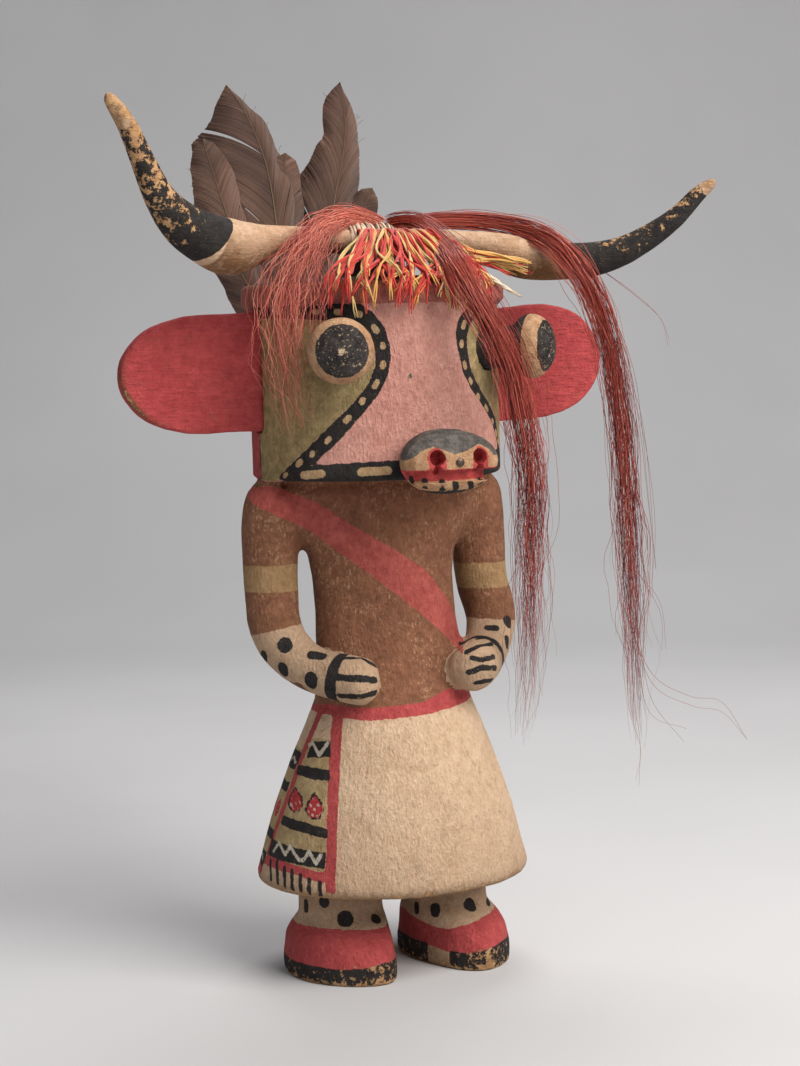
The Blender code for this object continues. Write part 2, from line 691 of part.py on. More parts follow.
def hair(look):
    """Three locks tied on over the bar: one to the right, one over the left eye and one over the left horn."""
    hair_lock(
        "hair_lock_right",
        [
            (-110, 0.083, 50, 0.8),
            (-56, 0.393, 42, 1),
            (-50, 0.787, 7, 1.1),
            (-48, 1.128, -44, 1.1),
            (-49, 1.253, -97, 1.2),
            (-50, 1.284, -167, 1.1),
            (-51, 1.242, -254, 0.8),
            (-51, 1.170, -340, 0.3),
        ],
        look,
    )
    hair_lock(
        "hair_lock_middle",
        [
            (70, 0.166, 51, 0.8),
            (44, 0.414, 55, 1),
            (28, 0.745, 43, 1),
            (20, 1.077, -3, 1),
            (15, 1.304, -80, 1.1),
            (16, 1.418, -172, 1.2),
            (21, 1.441, -262, 1.2),
            (28, 1.387, -353, 1.2),
            (38, 1.311, -446, 1.2),
            (45, 1.253, -565, 1.1),
            (46, 1.215, -709, 1),
            (46, 1.190, -821, 0.7),
            (44, 1.149, -954, 0.3),
        ],
        look,
    )
    hair_lock(
        "hair_lock_left",
        [
            (104, 0.290, 48, 0.8),
            (80, 0.803, 35, 1),
            (70, 1.077, 30, 1),
            (61, 1.335, 15, 1),
            (54, 1.542, -34, 1.1),
            (54, 1.687, -103, 1.2),
            (58, 1.781, -177, 1.2),
            (61, 1.832, -269, 1.2),
            (65, 1.894, -460, 1.1),
            (68, 1.936, -693, 1),
            (69, 1.946, -847, 0.7),
            (69, 1.988, -1000, 0.3),
        ],
        look,
    )


def centre_on_floor():
    """Moves everything level, so that the origin lies on the floor under the middle of the overall size."""
    bpy.context.view_layer.update()
    corners = [obj.matrix_world @ Vector(corner) for obj in bpy.data.objects for corner in obj.bound_box]
    middle = [(min(c[axis] for c in corners) + max(c[axis] for c in corners)) / 2 for axis in (0, 1)]
    for obj in bpy.data.objects:
        obj.location -= Vector((*middle, 0.0))


def main():
    clear_scene()
    wood = material("painted_wood_body", (0.20, 0.11, 0.08), 0.85)
    red = material("red_paint", (0.42, 0.045, 0.06), 0.8)
    black = material("black_paint", (0.03, 0.028, 0.027), 0.7)
    cream = material("cream_paint", (0.62, 0.50, 0.36), 0.8)
    steel = material("nail_steel", (0.35, 0.34, 0.33), 0.45, 1.0)
    vane = material("feather_brown", (0.15, 0.09, 0.065), 0.75)
    strands = material("red_hair", (0.36, 0.035, 0.03), 0.55)
    yarn = material("dyed_yarn", (0.78, 0.24, 0.05), 0.7)
    cotton = material("white_cotton", (0.72, 0.62, 0.50), 0.9)

    body(wood)
    ear("ear_right", -1, RIGHT_EAR_LENGTH, 2.4 * MM, 0.4 * MM, red)
    ear("ear_left", 1, LEFT_EAR_LENGTH, -0.6 * MM, 1.4 * MM, red)
    eye("eye_right", RIGHT_EYE_AZIMUTH, RIGHT_EYE_AIM, black)
    eye("eye_left", LEFT_EYE_AZIMUTH, LEFT_EYE_AIM, black)
    snout(black)
    nail(steel)
    horns(cream)
    tie_wrap(cotton)
    tie_cord_end(cotton)
    feathers(vane)
    yarn_fringe(yarn)
    hair(strands)
    centre_on_floor()


main()
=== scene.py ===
"""Looks for the carved and painted wooden cow figure: worn paint, feathers, dyed hair and a yarn fringe.

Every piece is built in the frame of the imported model, in metres. The paint's layout was measured on the
photograph, so it is given in pixels of its 800 x 1066 frame and carried to the surface by the camera's
own rays.
"""

import math

import bpy
import numpy as np
from mathutils import Matrix, Vector, noise
from mathutils.bvhtree import BVHTree


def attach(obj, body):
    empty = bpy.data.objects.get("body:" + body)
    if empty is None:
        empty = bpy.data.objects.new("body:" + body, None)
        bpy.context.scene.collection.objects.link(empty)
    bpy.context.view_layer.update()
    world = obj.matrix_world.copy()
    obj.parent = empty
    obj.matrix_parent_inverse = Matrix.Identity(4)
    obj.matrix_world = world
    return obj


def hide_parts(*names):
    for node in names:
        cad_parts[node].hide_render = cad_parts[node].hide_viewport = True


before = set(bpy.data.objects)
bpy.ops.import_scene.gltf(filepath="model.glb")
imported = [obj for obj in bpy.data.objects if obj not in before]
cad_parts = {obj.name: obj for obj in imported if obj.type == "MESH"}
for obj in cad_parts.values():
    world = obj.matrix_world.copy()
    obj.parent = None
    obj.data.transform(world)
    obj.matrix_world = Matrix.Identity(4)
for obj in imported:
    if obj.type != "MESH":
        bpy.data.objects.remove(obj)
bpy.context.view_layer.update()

MM = 0.001

# Sizes repeated from part.py
HEAD_BOTTOM = 182.0 * MM
HEAD_RADIUS = 45.9 * MM
HEAD_TOP = HEAD_BOTTOM + 62.2 * MM
BRIM_RADIUS = HEAD_RADIUS + 2.4 * MM
BRIM_TOP = HEAD_TOP + 8.4 * MM
BAR_Z = BRIM_TOP + 15.0 * MM
BAR_RADIUS = 5.2 * MM
HORN_REACH = 115.3 * MM
HORN_SWEEP = 0.45
HAIR_DROP = 195.6 * MM
EYE_Z = HEAD_BOTTOM + 45.9 * MM
EYE_BALL_RADIUS = 11.6 * MM
EYE_BALL_HALF_DEPTH = 8.3 * MM
EYE_REACH = 16.7 * MM
EYE_STEM_RADIUS = 7.8 * MM
EYE_SEAT = 4.0 * MM
EYES = {"eye_right": (-39.5, -17.0), "eye_left": (41.0, 44.0)}
SNOUT_Z = HEAD_BOTTOM + 7.0 * MM
SNOUT_LENGTH = 26.6 * MM
BODY_SHARE = 0.182 * MM
FEATHER_REACH = 152.0 * MM
FEATHER_ROOT = 38.0 * MM
FEATHER_LEAN = 6.0

# Photograph: the camera's place about the head's axis, and its lens, in pixels and degrees
PIXEL = 0.37 * MM
CAMERA_DISTANCE = 2260.0
CAMERA_HEIGHT = 613.0
CAMERA_AZIMUTH = 23.1
CAMERA_PITCH = 4.56
CAMERA_ROLL = 1.56
CAMERA_SHIFT = -21.6
PHOTO_SIZE = (800, 1066)
SENSOR_WIDTH = 36.0


def head_axis():
    """Where the head's upright axis stands: the middle of the brim."""
    points = [v.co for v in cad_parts["body"].data.vertices if v.co.z > HEAD_TOP + 1.5 * MM]
    x = (min(p.x for p in points) + max(p.x for p in points)) / 2
    y = (min(p.y for p in points) + max(p.y for p in points)) / 2
    return np.array([x, y, 0.0])


AXIS = head_axis()


def camera_basis():
    """The camera's place, and its right, up and forward directions."""
    turn, pitch, roll = (math.radians(v) for v in (CAMERA_AZIMUTH, CAMERA_PITCH, CAMERA_ROLL))
    level = np.array([math.sin(turn), math.cos(turn), 0.0])
    right = np.array([math.cos(turn), -math.sin(turn), 0.0])
    forward = level * math.cos(pitch) - np.array([0, 0, math.sin(pitch)])
    up = level * math.sin(pitch) + np.array([0, 0, math.cos(pitch)])
    place = AXIS - level * CAMERA_DISTANCE * PIXEL + np.array([0, 0, CAMERA_HEIGHT * PIXEL])
    c, s = math.cos(roll), math.sin(roll)
    return place, c * right - s * up, s * right + c * up, forward


PLACE, RIGHT, UP, FORWARD = camera_basis()
ROLL = math.radians(CAMERA_ROLL)
SHIFT = (CAMERA_SHIFT * math.cos(ROLL), -CAMERA_SHIFT * math.sin(ROLL))


def photo_ray(x, y):
    """The direction from the camera through that point of the photograph."""
    across = (x - PHOTO_SIZE[0] / 2 - SHIFT[0]) / CAMERA_DISTANCE
    down = (y - PHOTO_SIZE[1] / 2 - SHIFT[1]) / CAMERA_DISTANCE
    way = FORWARD + RIGHT * across - UP * down
    return way / np.linalg.norm(way)


def on_plane(x, y, point, normal):
    """Where the ray through a photograph point meets a plane."""
    way = photo_ray(x, y)
    return PLACE + way * float(np.dot(point - PLACE, normal) / np.dot(way, normal))


def around(azimuth, radius, z):
    """A point about the head's axis, azimuth counted from straight ahead towards the figure's left."""
    turn = math.radians(azimuth)
    return AXIS + np.array([radius * math.sin(turn), -radius * math.cos(turn), z])


# Mesh helpers


def coords(mesh):
    out = np.empty(len(mesh.vertices) * 3)
    mesh.vertices.foreach_get("co", out)
    return out.reshape(-1, 3)


def set_coords(mesh, points):
    mesh.vertices.foreach_set("co", np.asarray(points, np.float32).ravel())
    mesh.update()


def normals(mesh):
    out = np.empty(len(mesh.vertices) * 3)
    mesh.vertices.foreach_get("normal", out)
    return out.reshape(-1, 3)


def add_values(mesh, name, values):
    made = mesh.attributes.get(name) or mesh.attributes.new(name, "FLOAT", "POINT")
    made.data.foreach_set("value", np.asarray(values, np.float32))


def new_object(name, mesh, look=None, smooth=True):
    obj = bpy.data.objects.new(name, mesh)
    bpy.context.scene.collection.objects.link(obj)
    if look:
        obj.data.materials.append(look)
    if smooth:
        mesh.polygons.foreach_set("use_smooth", [True] * len(mesh.polygons))
    return obj


def mesh_of(name, points, faces):
    mesh = bpy.data.meshes.new(name)
    mesh.from_pydata([tuple(p) for p in points], [], [tuple(int(i) for i in f) for f in faces])
    mesh.update()
    return mesh


def evaluated(obj, name):
    graph = bpy.context.evaluated_depsgraph_get()
    graph.update()
    mesh = bpy.data.meshes.new_from_object(obj.evaluated_get(graph))
    mesh.name = name
    bpy.data.objects.remove(obj, do_unlink=True)
    return mesh


def carved_copy(node, voxel, smoothing):
    """A fine, even skin over a CAD node, with its facets smoothed out."""
    source = new_object(node + "_source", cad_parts[node].data.copy(), smooth=False)
    source.data.materials.clear()
    remesh = source.modifiers.new("skin", "REMESH")
    remesh.mode = "VOXEL"
    remesh.voxel_size = voxel
    smooth = source.modifiers.new("smooth", "SMOOTH")
    smooth.factor = 0.5
    smooth.iterations = smoothing
    return evaluated(source, node + "_skin")


def edge_wear(mesh, dull=0.12, most=0.5, passes=6):
    """How proud each vertex stands of its neighbourhood, in mm past a dull amount: over zero on edges."""
    points = coords(mesh)
    ends = np.empty(len(mesh.edges) * 2, np.int64)
    mesh.edges.foreach_get("vertices", ends)
    a, b = ends[0::2], ends[1::2]
    count = np.bincount(ends, minlength=len(points)).astype(float)[:, None]
    soft = points.copy()
    for _ in range(passes):
        total = np.zeros_like(soft)
        np.add.at(total, a, soft[b])
        np.add.at(total, b, soft[a])
        soft = total / np.maximum(count, 1)
    return np.clip(((points - soft) * normals(mesh)).sum(1) / MM - dull, 0, most)


def wobble(points, scale, seed):
    """Smooth noise from about -1 to 1 at each point."""
    shift = Vector((seed * 17.3, seed * 5.1, seed * 9.7))
    return np.array([noise.noise(Vector(p) * scale + shift) for p in points])


# Distances that paint is laid out by, in whatever unit the points are in


def line_distance(points, line):
    best = np.full(len(points), 1e9)
    line = np.asarray(line, float)
    if len(line) == 1:
        return np.linalg.norm(points - line[0], axis=1)
    for a, b in zip(line[:-1], line[1:]):
        run = b - a
        t = np.clip((points - a) @ run / max(run @ run, 1e-12), 0, 1)
        best = np.minimum(best, np.linalg.norm(points - a - t[:, None] * run, axis=1))
    return best


def polygon_depth(points, polygon):
    """Distance to the outline, over zero inside."""
    polygon = np.asarray(polygon, float)
    ring = np.vstack([polygon, polygon[:1]])
    distance = line_distance(points, ring)
    inside = np.zeros(len(points), bool)
    x, y = points[:, 0], points[:, 1]
    for (x0, y0), (x1, y1) in zip(ring[:-1], ring[1:]):
        if y0 == y1:
            continue
        crosses = (y0 > y) != (y1 > y)
        inside ^= crosses & (x < x0 + (y - y0) * (x1 - x0) / (y1 - y0))
    return np.where(inside, distance, -distance)


# A depth in mm so far outside a shape that nothing is painted there
NOWHERE = -20.0


class Paint:
    """Named layers over one mesh, each a depth in mm that is over zero where the paint lies."""

    def __init__(self, count, names):
        self.layers = {name: np.full(count, NOWHERE) for name in names}

    def add(self, name, depth):
        self.layers[name] = np.maximum(self.layers[name], depth)

    def cut(self, name, depth):
        self.layers[name] = np.minimum(self.layers[name], -depth)

    def store(self, mesh):
        for name, depth in self.layers.items():
            add_values(mesh, "paint_" + name, np.clip(depth, -8, 8))


# Materials


class Look:
    """One node material about a Principled shader."""

    def __init__(self, name, roughness=0.8, metallic=0.0, specular=0.3):
        self.material = bpy.data.materials.new(name)
        self.material.use_nodes = True
        self.tree = self.material.node_tree
        self.shader = self.tree.nodes["Principled BSDF"]
        self.shader.inputs["Roughness"].default_value = roughness
        self.shader.inputs["Metallic"].default_value = metallic
        self.shader.inputs["Specular IOR Level"].default_value = specular
        self.place = self.node("ShaderNodeTexCoord").outputs["Object"]

    def node(self, kind, **settings):
        made = self.tree.nodes.new(kind)
        for key, value in settings.items():
            setattr(made, key, value)
        return made

    def join(self, source, target):
        if hasattr(source, "is_linked"):
            self.tree.links.new(source, target)
        else:
            target.default_value = source

    def stretched(self, scale):
        made = self.node("ShaderNodeVectorMath", operation="MULTIPLY")
        self.join(self.place, made.inputs[0])
        made.inputs[1].default_value = scale
        return made.outputs[0]

    def noise(self, scale, detail=3.0, rough=0.55, stretch=None, seed=0.0):
        """Noise with about that many cells in a metre."""
        made = self.node("ShaderNodeTexNoise", noise_dimensions="4D")
        self.join(self.stretched(stretch) if stretch else self.place, made.inputs["Vector"])
        made.inputs["W"].default_value = seed
        made.inputs["Scale"].default_value = scale
        made.inputs["Detail"].default_value = detail
        made.inputs["Roughness"].default_value = rough
        return made.outputs["Fac"]

    def step(self, value, low, high, out=(0.0, 1.0), smooth=True):
        made = self.node("ShaderNodeMapRange", interpolation_type="SMOOTHSTEP" if smooth else "LINEAR")
        self.join(value, made.inputs["Value"])
        for key, number in zip(("From Min", "From Max", "To Min", "To Max"), (low, high, *out)):
            made.inputs[key].default_value = number
        return made.outputs["Result"]

    def math(self, operation, a, b=0.0, clamp=False):
        made = self.node("ShaderNodeMath", operation=operation, use_clamp=clamp)
        self.join(a, made.inputs[0])
        self.join(b, made.inputs[1])
        return made.outputs[0]

    def plus(self, a, b):
        return self.math("ADD", a, b)

    def minus(self, a, b):
        return self.math("SUBTRACT", a, b)

    def times(self, a, b):
        return self.math("MULTIPLY", a, b)

    def mix(self, share, a, b, blend="MIX"):
        made = self.node("ShaderNodeMix", data_type="RGBA", blend_type=blend)
        for socket, value in ((0, share), (6, a), (7, b)):
            self.join(value, made.inputs[socket])
        return made.outputs[2]

    def scaled(self, colour, value):
        """A colour times one number."""
        grey = self.node("ShaderNodeCombineColor")
        for index in range(3):
            self.join(value, grey.inputs[index])
        return self.mix(1.0, colour, grey.outputs[0], "MULTIPLY")

    def ramp(self, value, stops):
        """A colour that runs through stops, each a place from 0 to 1 and a colour on screen."""
        made = self.node("ShaderNodeValToRGB")
        elements = made.color_ramp.elements
        for index, (at, colour) in enumerate(stops):
            stop = elements[index] if index < 2 else elements.new(at)
            stop.position = at
            stop.color = linear(*colour)
        self.join(value, made.inputs["Fac"])
        return made.outputs["Color"]

    def sheen(self, weight, roughness):
        self.shader.inputs["Sheen Weight"].default_value = weight
        self.shader.inputs["Sheen Roughness"].default_value = roughness

    def value(self, name):
        return self.node("ShaderNodeAttribute", attribute_name=name).outputs["Fac"]

    def bump(self, height, distance, strength=1.0):
        made = self.node("ShaderNodeBump")
        made.inputs["Strength"].default_value = strength
        made.inputs["Distance"].default_value = distance
        self.join(height, made.inputs["Height"])
        return made.outputs["Normal"]

    def finish(self, colour, normal=None, roughness=None):
        self.join(colour, self.shader.inputs["Base Color"])
        if normal is not None:
            self.join(normal, self.shader.inputs["Normal"])
        if roughness is not None:
            self.join(roughness, self.shader.inputs["Roughness"])
        return self.material


def linear(red, green, blue):
    """A colour given as 0 to 255 on screen, as the shader takes it."""
    out = []
    for value in (red, green, blue):
        v = value / 255
        out.append(v / 12.92 if v <= 0.04045 else ((v + 0.055) / 1.055) ** 2.4)
    return (*out, 1.0)


# Paint colours as they look in full light
COLOURS = {
    "brown": ((152, 103, 77), (117, 77, 57)),
    "brown_worn": ((196, 156, 122), (160, 120, 90)),
    "red": ((196, 88, 86), (166, 64, 66)),
    "sash": ((196, 102, 92), (158, 72, 66)),
    "dusty_red": ((190, 118, 104), (156, 88, 78)),
    "pink": ((222, 165, 150), (202, 140, 127)),
    "olive": ((184, 160, 114), (130, 114, 76)),
    "cream": ((226, 196, 166), (204, 170, 138)),
    "pale": ((200, 176, 132), (162, 136, 96)),
    "band": ((204, 170, 126), (158, 124, 84)),
    "black": ((54, 50, 48), (32, 30, 30)),
    "black_dusty": ((126, 118, 112), (60, 56, 54)),
    "black_speckled": ((78, 72, 70), (24, 22, 24)),
    "eye_chip": ((222, 198, 166), (186, 160, 128)),
    "ochre": ((204, 172, 132), (166, 132, 94)),
    "white": ((214, 204, 188), (190, 180, 160)),
    "grey": ((112, 104, 96), (84, 76, 68)),
    "wood": ((204, 164, 120), (166, 122, 82)),
    # The brown of stains, also laid on as painted shade
    "stain_and_shade": ((136, 98, 66), (100, 68, 44)),
    "flower": ((198, 66, 70), (172, 50, 56)),
    "mouth_red": ((206, 88, 84), (158, 58, 58)),
    "eye_cream": ((222, 182, 144), (168, 122, 86)),
    "horn_cream": ((216, 184, 154), (182, 142, 110)),
    "ear_red": ((206, 88, 88), (180, 66, 70)),
}


# The layers that stain and painted shade darken: the others lie over them
PALE_LAYERS = ("pink", "olive", "cream", "pale", "band")
PIT_COLOUR = (70, 46, 34)
SPECK_COLOUR = (226, 196, 160)


def painted_look(name, base, layers, grain=(1.0, 1.0, 0.45), relief=1.0, chip_scale=520, bared="wood"):
    """Worn mineral paint in layers over wood, each with a hand's waver at its edge.

    layers maps a depth attribute to its colour. The attributes edge and rub wear the paint off, and stain
    browns it: real stains, and painted shade on the horns' undersides and on the legs under the kilt.
    """
    look = Look(name, roughness=0.85, specular=0.22)
    broad, middle = look.noise(55, 3, seed=1), look.noise(300, 4, 0.6, seed=2)
    fine, grained = look.noise(820, 5, 0.72, seed=3), look.noise(1000, 4, 0.6, stretch=grain, seed=4)
    patchy = look.step(look.plus(look.times(broad, 0.35), look.times(middle, 0.65)), 0.30, 0.70)
    streak = look.plus(look.times(grained, 0.5), look.times(fine, 0.5))
    streak = look.step(streak, 0.30, 0.70, out=(0.72, 1.18), smooth=False)

    def tone(key):
        bright, dark = (linear(*c) for c in COLOURS[key])
        return look.scaled(look.mix(patchy, dark, bright), streak)

    colour = tone(base)
    if base == "brown":
        crowd = look.times(look.minus(look.noise(75, 3, seed=12), 0.5), 0.42)
        flecks = look.step(look.plus(look.noise(950, 5, 0.8, (1, 1, 0.6), seed=13), crowd), 0.54, 0.63)
        colour = look.mix(look.times(flecks, 0.85), colour, tone("brown_worn"))

    uneven = look.step(look.plus(patchy, fine), 0.55, 1.15, out=(0.45, 1.25))
    dirt = look.step(look.noise(130, 6, 0.75, seed=11), 0.50, 0.68, out=(0.0, 0.26))
    # How brown each point is: random dirt, and the stain attribute, which also carries painted shade
    stain_and_shade_mix = look.math("ADD", dirt, look.times(look.value("stain_and_shade"), uneven), clamp=True)
    sway = look.times(look.minus(look.noise(300, 2, seed=5), 0.5), 1.1)
    fray = look.times(look.minus(look.noise(1500, 3, 0.7, seed=6), 0.5), 0.9)
    worn = look.step(look.noise(1300, 4, 0.72, seed=7), 0.62, 0.72)
    waver = look.minus(look.plus(sway, fray), look.times(worn, 0.9))
    browned = [layer for layer in layers if layer in PALE_LAYERS]
    fresh = [layer for layer in layers if layer not in PALE_LAYERS]
    for layer in [*browned, "stain_and_shade", *fresh]:
        if layer == "stain_and_shade":
            colour = look.mix(stain_and_shade_mix, colour, tone("stain_and_shade"))
            continue
        inside = look.plus(look.value("paint_" + layer), waver)
        colour = look.mix(look.step(inside, -0.10, 0.14), colour, tone(layers[layer]))

    chips = look.plus(look.value("edge"), look.minus(look.noise(chip_scale, 6, 0.74, seed=8), 0.5))
    chips = look.step(look.plus(chips, look.times(look.value("rub"), 0.22)), 0.225, 0.26)
    colour = look.mix(chips, colour, tone(bared))
    pits = look.step(look.noise(1900, 3, 0.7, seed=9), 0.62, 0.70)
    colour = look.mix(look.times(pits, 0.34), colour, linear(*PIT_COLOUR))
    specks = look.step(look.noise(1300, 4, 0.78, seed=10), 0.62, 0.70)
    colour = look.mix(look.times(specks, 0.36), colour, linear(*SPECK_COLOUR))

    height = look.plus(look.times(fine, 0.40), look.times(grained, 0.60))
    height = look.plus(height, look.times(middle, 0.45))
    height = look.minus(height, look.plus(look.times(chips, 0.18), look.times(pits, 0.25)))
    return look.finish(colour, look.bump(height, 1.25 * MM * relief))


# The carved body


def body_mesh():
    """The body's fine skin, trued up round the head so that no facet of the solid shows there."""
    mesh = carved_copy("body", 1.15 * MM, 8)
    points = coords(mesh)
    flat = points - AXIS
    radius = np.hypot(flat[:, 0], flat[:, 1])
    z = points[:, 2]
    carve = wobble(points, 55.0, 1) * 0.22 * MM + wobble(points, 190.0, 2) * 0.09 * MM
    head = (HEAD_BOTTOM + 1.4 * MM, HEAD_TOP - 0.7 * MM, HEAD_RADIUS)
    brim = (HEAD_TOP + 1.2 * MM, BRIM_TOP - 1.4 * MM, BRIM_RADIUS)
    for low, high, true in (head, brim):
        wall = (z > low) & (z < high) & (np.abs(radius - true) < 1.0 * MM)
        wanted = true + carve - 0.15 * MM
        scale = np.where(wall, wanted / np.maximum(radius, 1e-6), 1.0)
        points[:, :2] = AXIS[:2] + flat[:, :2] * scale[:, None]
        flat = points - AXIS
        radius = np.hypot(flat[:, 0], flat[:, 1])
    rough = wobble(points, 75.0, 3) * 0.25 * MM + wobble(points, 260.0, 4) * 0.08 * MM
    lower = z < HEAD_BOTTOM - 2 * MM
    points += normals(mesh) * np.where(lower, rough - 0.1 * MM, 0.0)[:, None]
    points[:, 2] = np.maximum(points[:, 2], 0.0)
    set_coords(mesh, points)
    return mesh


def body_shares(*point):
    """A point of the figure, given as thousandths of the body's height."""
    return AXIS + np.array(point) * BODY_SHARE


# Each arm's shoulder, and how far its hand is lifted, in thousandths of the body's height
ARMS = {-1: (231, 2), 1: (221, 9)}


def arm_path(side):
    """The line of one arm and its radius, as in part.py. side is -1 for the right arm and 1 for the left."""
    shoulder, lift = ARMS[side]
    path = [
        ((shoulder - 14, 0, 986), 40),
        ((shoulder - 6, 0, 966), 55),
        ((shoulder, 2, 925), 60),
        ((shoulder + 5, 2, 833), 57),
        ((shoulder + 7, -6, 768), 55),
        ((238, -22, 707), 54),
        ((219, -55, 655 + lift), 50),
        ((186, -100, 624 + lift), 47),
        ((150, -145, 612 + lift), 48),
        ((123, -173, 606 + lift), 50),
        ((94, -200, 602 + lift), 42),
    ]
    line = np.array([body_shares(side * x, y, z) for (x, y, z), _ in path])
    return line, np.array([radius * BODY_SHARE for _, radius in path])


def along_path(points, path, radii):
    """Distance from a path's skin, and the length run along it to the nearest place, both in mm."""
    best = np.full(len(points), 1e9)
    run_at = np.zeros(len(points))
    run_so_far = 0.0
    for a, b, ra, rb in zip(path[:-1], path[1:], radii[:-1], radii[1:]):
        run = b - a
        length = np.linalg.norm(run)
        t = np.clip((points - a) @ run / (run @ run), 0, 1)
        gap = np.linalg.norm(points - a - t[:, None] * run, axis=1) - (ra + (rb - ra) * t)
        nearer = gap < best
        best = np.where(nearer, gap, best)
        run_at = np.where(nearer, run_so_far + t * length, run_at)
        run_so_far += length
    return best / MM, run_at / MM


def photo_hides(surface, spot):
    """Whether something stands between the camera and a point."""
    way = Vector(spot) - Vector(PLACE)
    found = surface.tree.ray_cast(Vector(PLACE), way.normalized())[3]
    return found is not None and found < way.length - 4 * MM


class Surface:
    """Finds where points of the photograph lie on a mesh."""

    def __init__(self, mesh):
        mesh.calc_loop_triangles()
        triangles = np.empty(len(mesh.loop_triangles) * 3, np.int64)
        mesh.loop_triangles.foreach_get("vertices", triangles)
        self.tree = BVHTree.FromPolygons([tuple(p) for p in coords(mesh)], triangles.reshape(-1, 3).tolist())

    def spot(self, x, y):
        """The point seen at a photograph point, or the nearest one where the ray just misses."""
        way = photo_ray(x, y)
        found = self.tree.ray_cast(Vector(PLACE), Vector(way))[0]
        if found is None:
            middle = PLACE + way * float((AXIS + [0, 0, 0.15] - PLACE) @ way)
            found = self.tree.find_nearest(Vector(middle))[0]
        return np.array(found)

    def spots(self, *pairs):
        return np.array([self.spot(x, y) for x, y in pairs])

    def traced(self, pairs, step=2.5):
        """Spots along a line in the photograph, near enough together to follow the surface."""
        pairs = np.asarray(pairs, float)
        length = np.linalg.norm(np.diff(pairs, axis=0), axis=1).sum()
        return self.spots(*resampled(pairs, np.linspace(0, 1, int(length / step) + 2)))


def head_spot(x, y, radius=HEAD_RADIUS):
    """A photograph point on the head's wall, as mm round from straight ahead and mm above its underside."""
    way = photo_ray(x, y)
    start = PLACE - AXIS
    a = way[0] ** 2 + way[1] ** 2
    b = 2 * (start[0] * way[0] + start[1] * way[1])
    c = start[0] ** 2 + start[1] ** 2 - radius**2
    t = (-b - math.sqrt(max(b * b - 4 * a * c, 0.0))) / (2 * a)
    point = start + way * t
    turn = math.atan2(point[0], -point[1])
    return turn * radius / MM, (point[2] - HEAD_BOTTOM) / MM


def head_line(*pairs):
    return np.array([head_spot(x, y) for x, y in pairs])


# The face's paint, in photograph pixels: each band's two edges and its row of dots, from the brim down
RIGHT_BAND_OUTER = [
    (298, 304), (320, 303.5), (347, 303), (360, 303), (374, 313), (385, 327.5), (390, 344), (391, 357),
    (389, 373), (382, 389), (360.5, 417), (339, 441), (315, 463), (308, 466),
]
RIGHT_BAND_INNER = [
    (298, 319), (310, 319.5), (345, 321), (359, 324), (369, 331), (375, 350), (375, 365), (369, 384),
    (350, 406.5), (327, 429), (307, 449), (287, 468), (279, 476), (277, 484),
]
RIGHT_DOTS = [
    (259, 313), (278, 312), (297, 311), (315, 312), (338, 312), (359, 314), (375, 329), (383, 345),
    (383, 365), (376, 384), (362, 401), (347, 419.5), (328, 440), (312, 454), (299, 463), (285, 475),
]
BOTTOM_UPPER = [(288, 469), (305, 466), (334, 464), (399, 460), (440, 457), (475, 453), (497, 449)]
BOTTOM_LOWER = [(277, 492), (320, 494), (360, 493), (399, 490), (440, 486), (475, 482), (498, 478)]
BOTTOM_BARS = [((303.5, 475.5), (322, 474)), ((361, 472), (388, 470.5))]
LEFT_BAND_OUTER = [
    (476, 299), (463, 312), (458, 321), (456, 334), (457, 346), (460, 357.5), (463, 372), (472, 390),
    (484, 407), (493, 425), (497.5, 443), (498, 452),
]
LEFT_BAND_INNER = [
    (486, 309), (474, 319), (469, 327), (467, 338), (468, 352), (472, 372), (481, 390), (491, 407),
    (496, 419),
]
LEFT_DOTS = [
    (472, 313), (464, 325), (462, 344), (465, 365), (471, 381), (478.5, 396), (487, 408), (493, 421),
    (496.5, 433),
]
FACE_MARK = (410, 376)

HEAD_HIGH = (HEAD_TOP - HEAD_BOTTOM) / MM
HEAD_SIDE = math.pi / 2 * HEAD_RADIUS / MM
LEFT_BAND_WIDTH = 4.6


class HeadPlace:
    """Each point of the head in mm: round from straight ahead, above its underside, and off its axis."""

    def __init__(self, points):
        flat = points - AXIS
        self.z = (points[:, 2] - HEAD_BOTTOM) / MM
        self.round = np.arctan2(flat[:, 0], -flat[:, 1]) * HEAD_RADIUS / MM
        self.unrolled = np.stack([self.round, self.z], 1)
        self.radius = np.hypot(flat[:, 0], flat[:, 1]) / MM
        self.wall = np.minimum(self.z + 0.3, HEAD_HIGH + 0.2 - self.z)
        self.wall = np.minimum(self.wall, self.radius - HEAD_RADIUS / MM + 1.6)

    def inside(self, outline):
        return np.minimum(polygon_depth(self.unrolled, outline), self.wall)


def hidden_band(inner):
    """The left band's inner edge where hair and snout hide it, from its last seen point down."""
    x, z = inner[-1]
    return [(x + 6, z - 12), (x + 9, z - 26), (x + 12, -1)]


def paint_face(paint, head):
    """Pink in front, olive about the eyes, and red behind."""
    right, left = head_line(*RIGHT_BAND_INNER), head_line(*LEFT_BAND_INNER)
    behind = np.abs(head.round) - HEAD_SIDE + 0.4
    paint.add("red", np.where(head.z > -0.3, behind, NOWHERE))
    paint.add("pink", np.where(head.z > -0.3, -behind, NOWHERE))
    paint.add(
        "olive", head.inside([(-HEAD_SIDE, -1), (-HEAD_SIDE, right[0][1] + 1), *right, (right[-1][0], -1)])
    )
    paint.add("olive", head.inside([(HEAD_SIDE, HEAD_HIGH - 2), *left, *hidden_band(left), (HEAD_SIDE, -1)]))


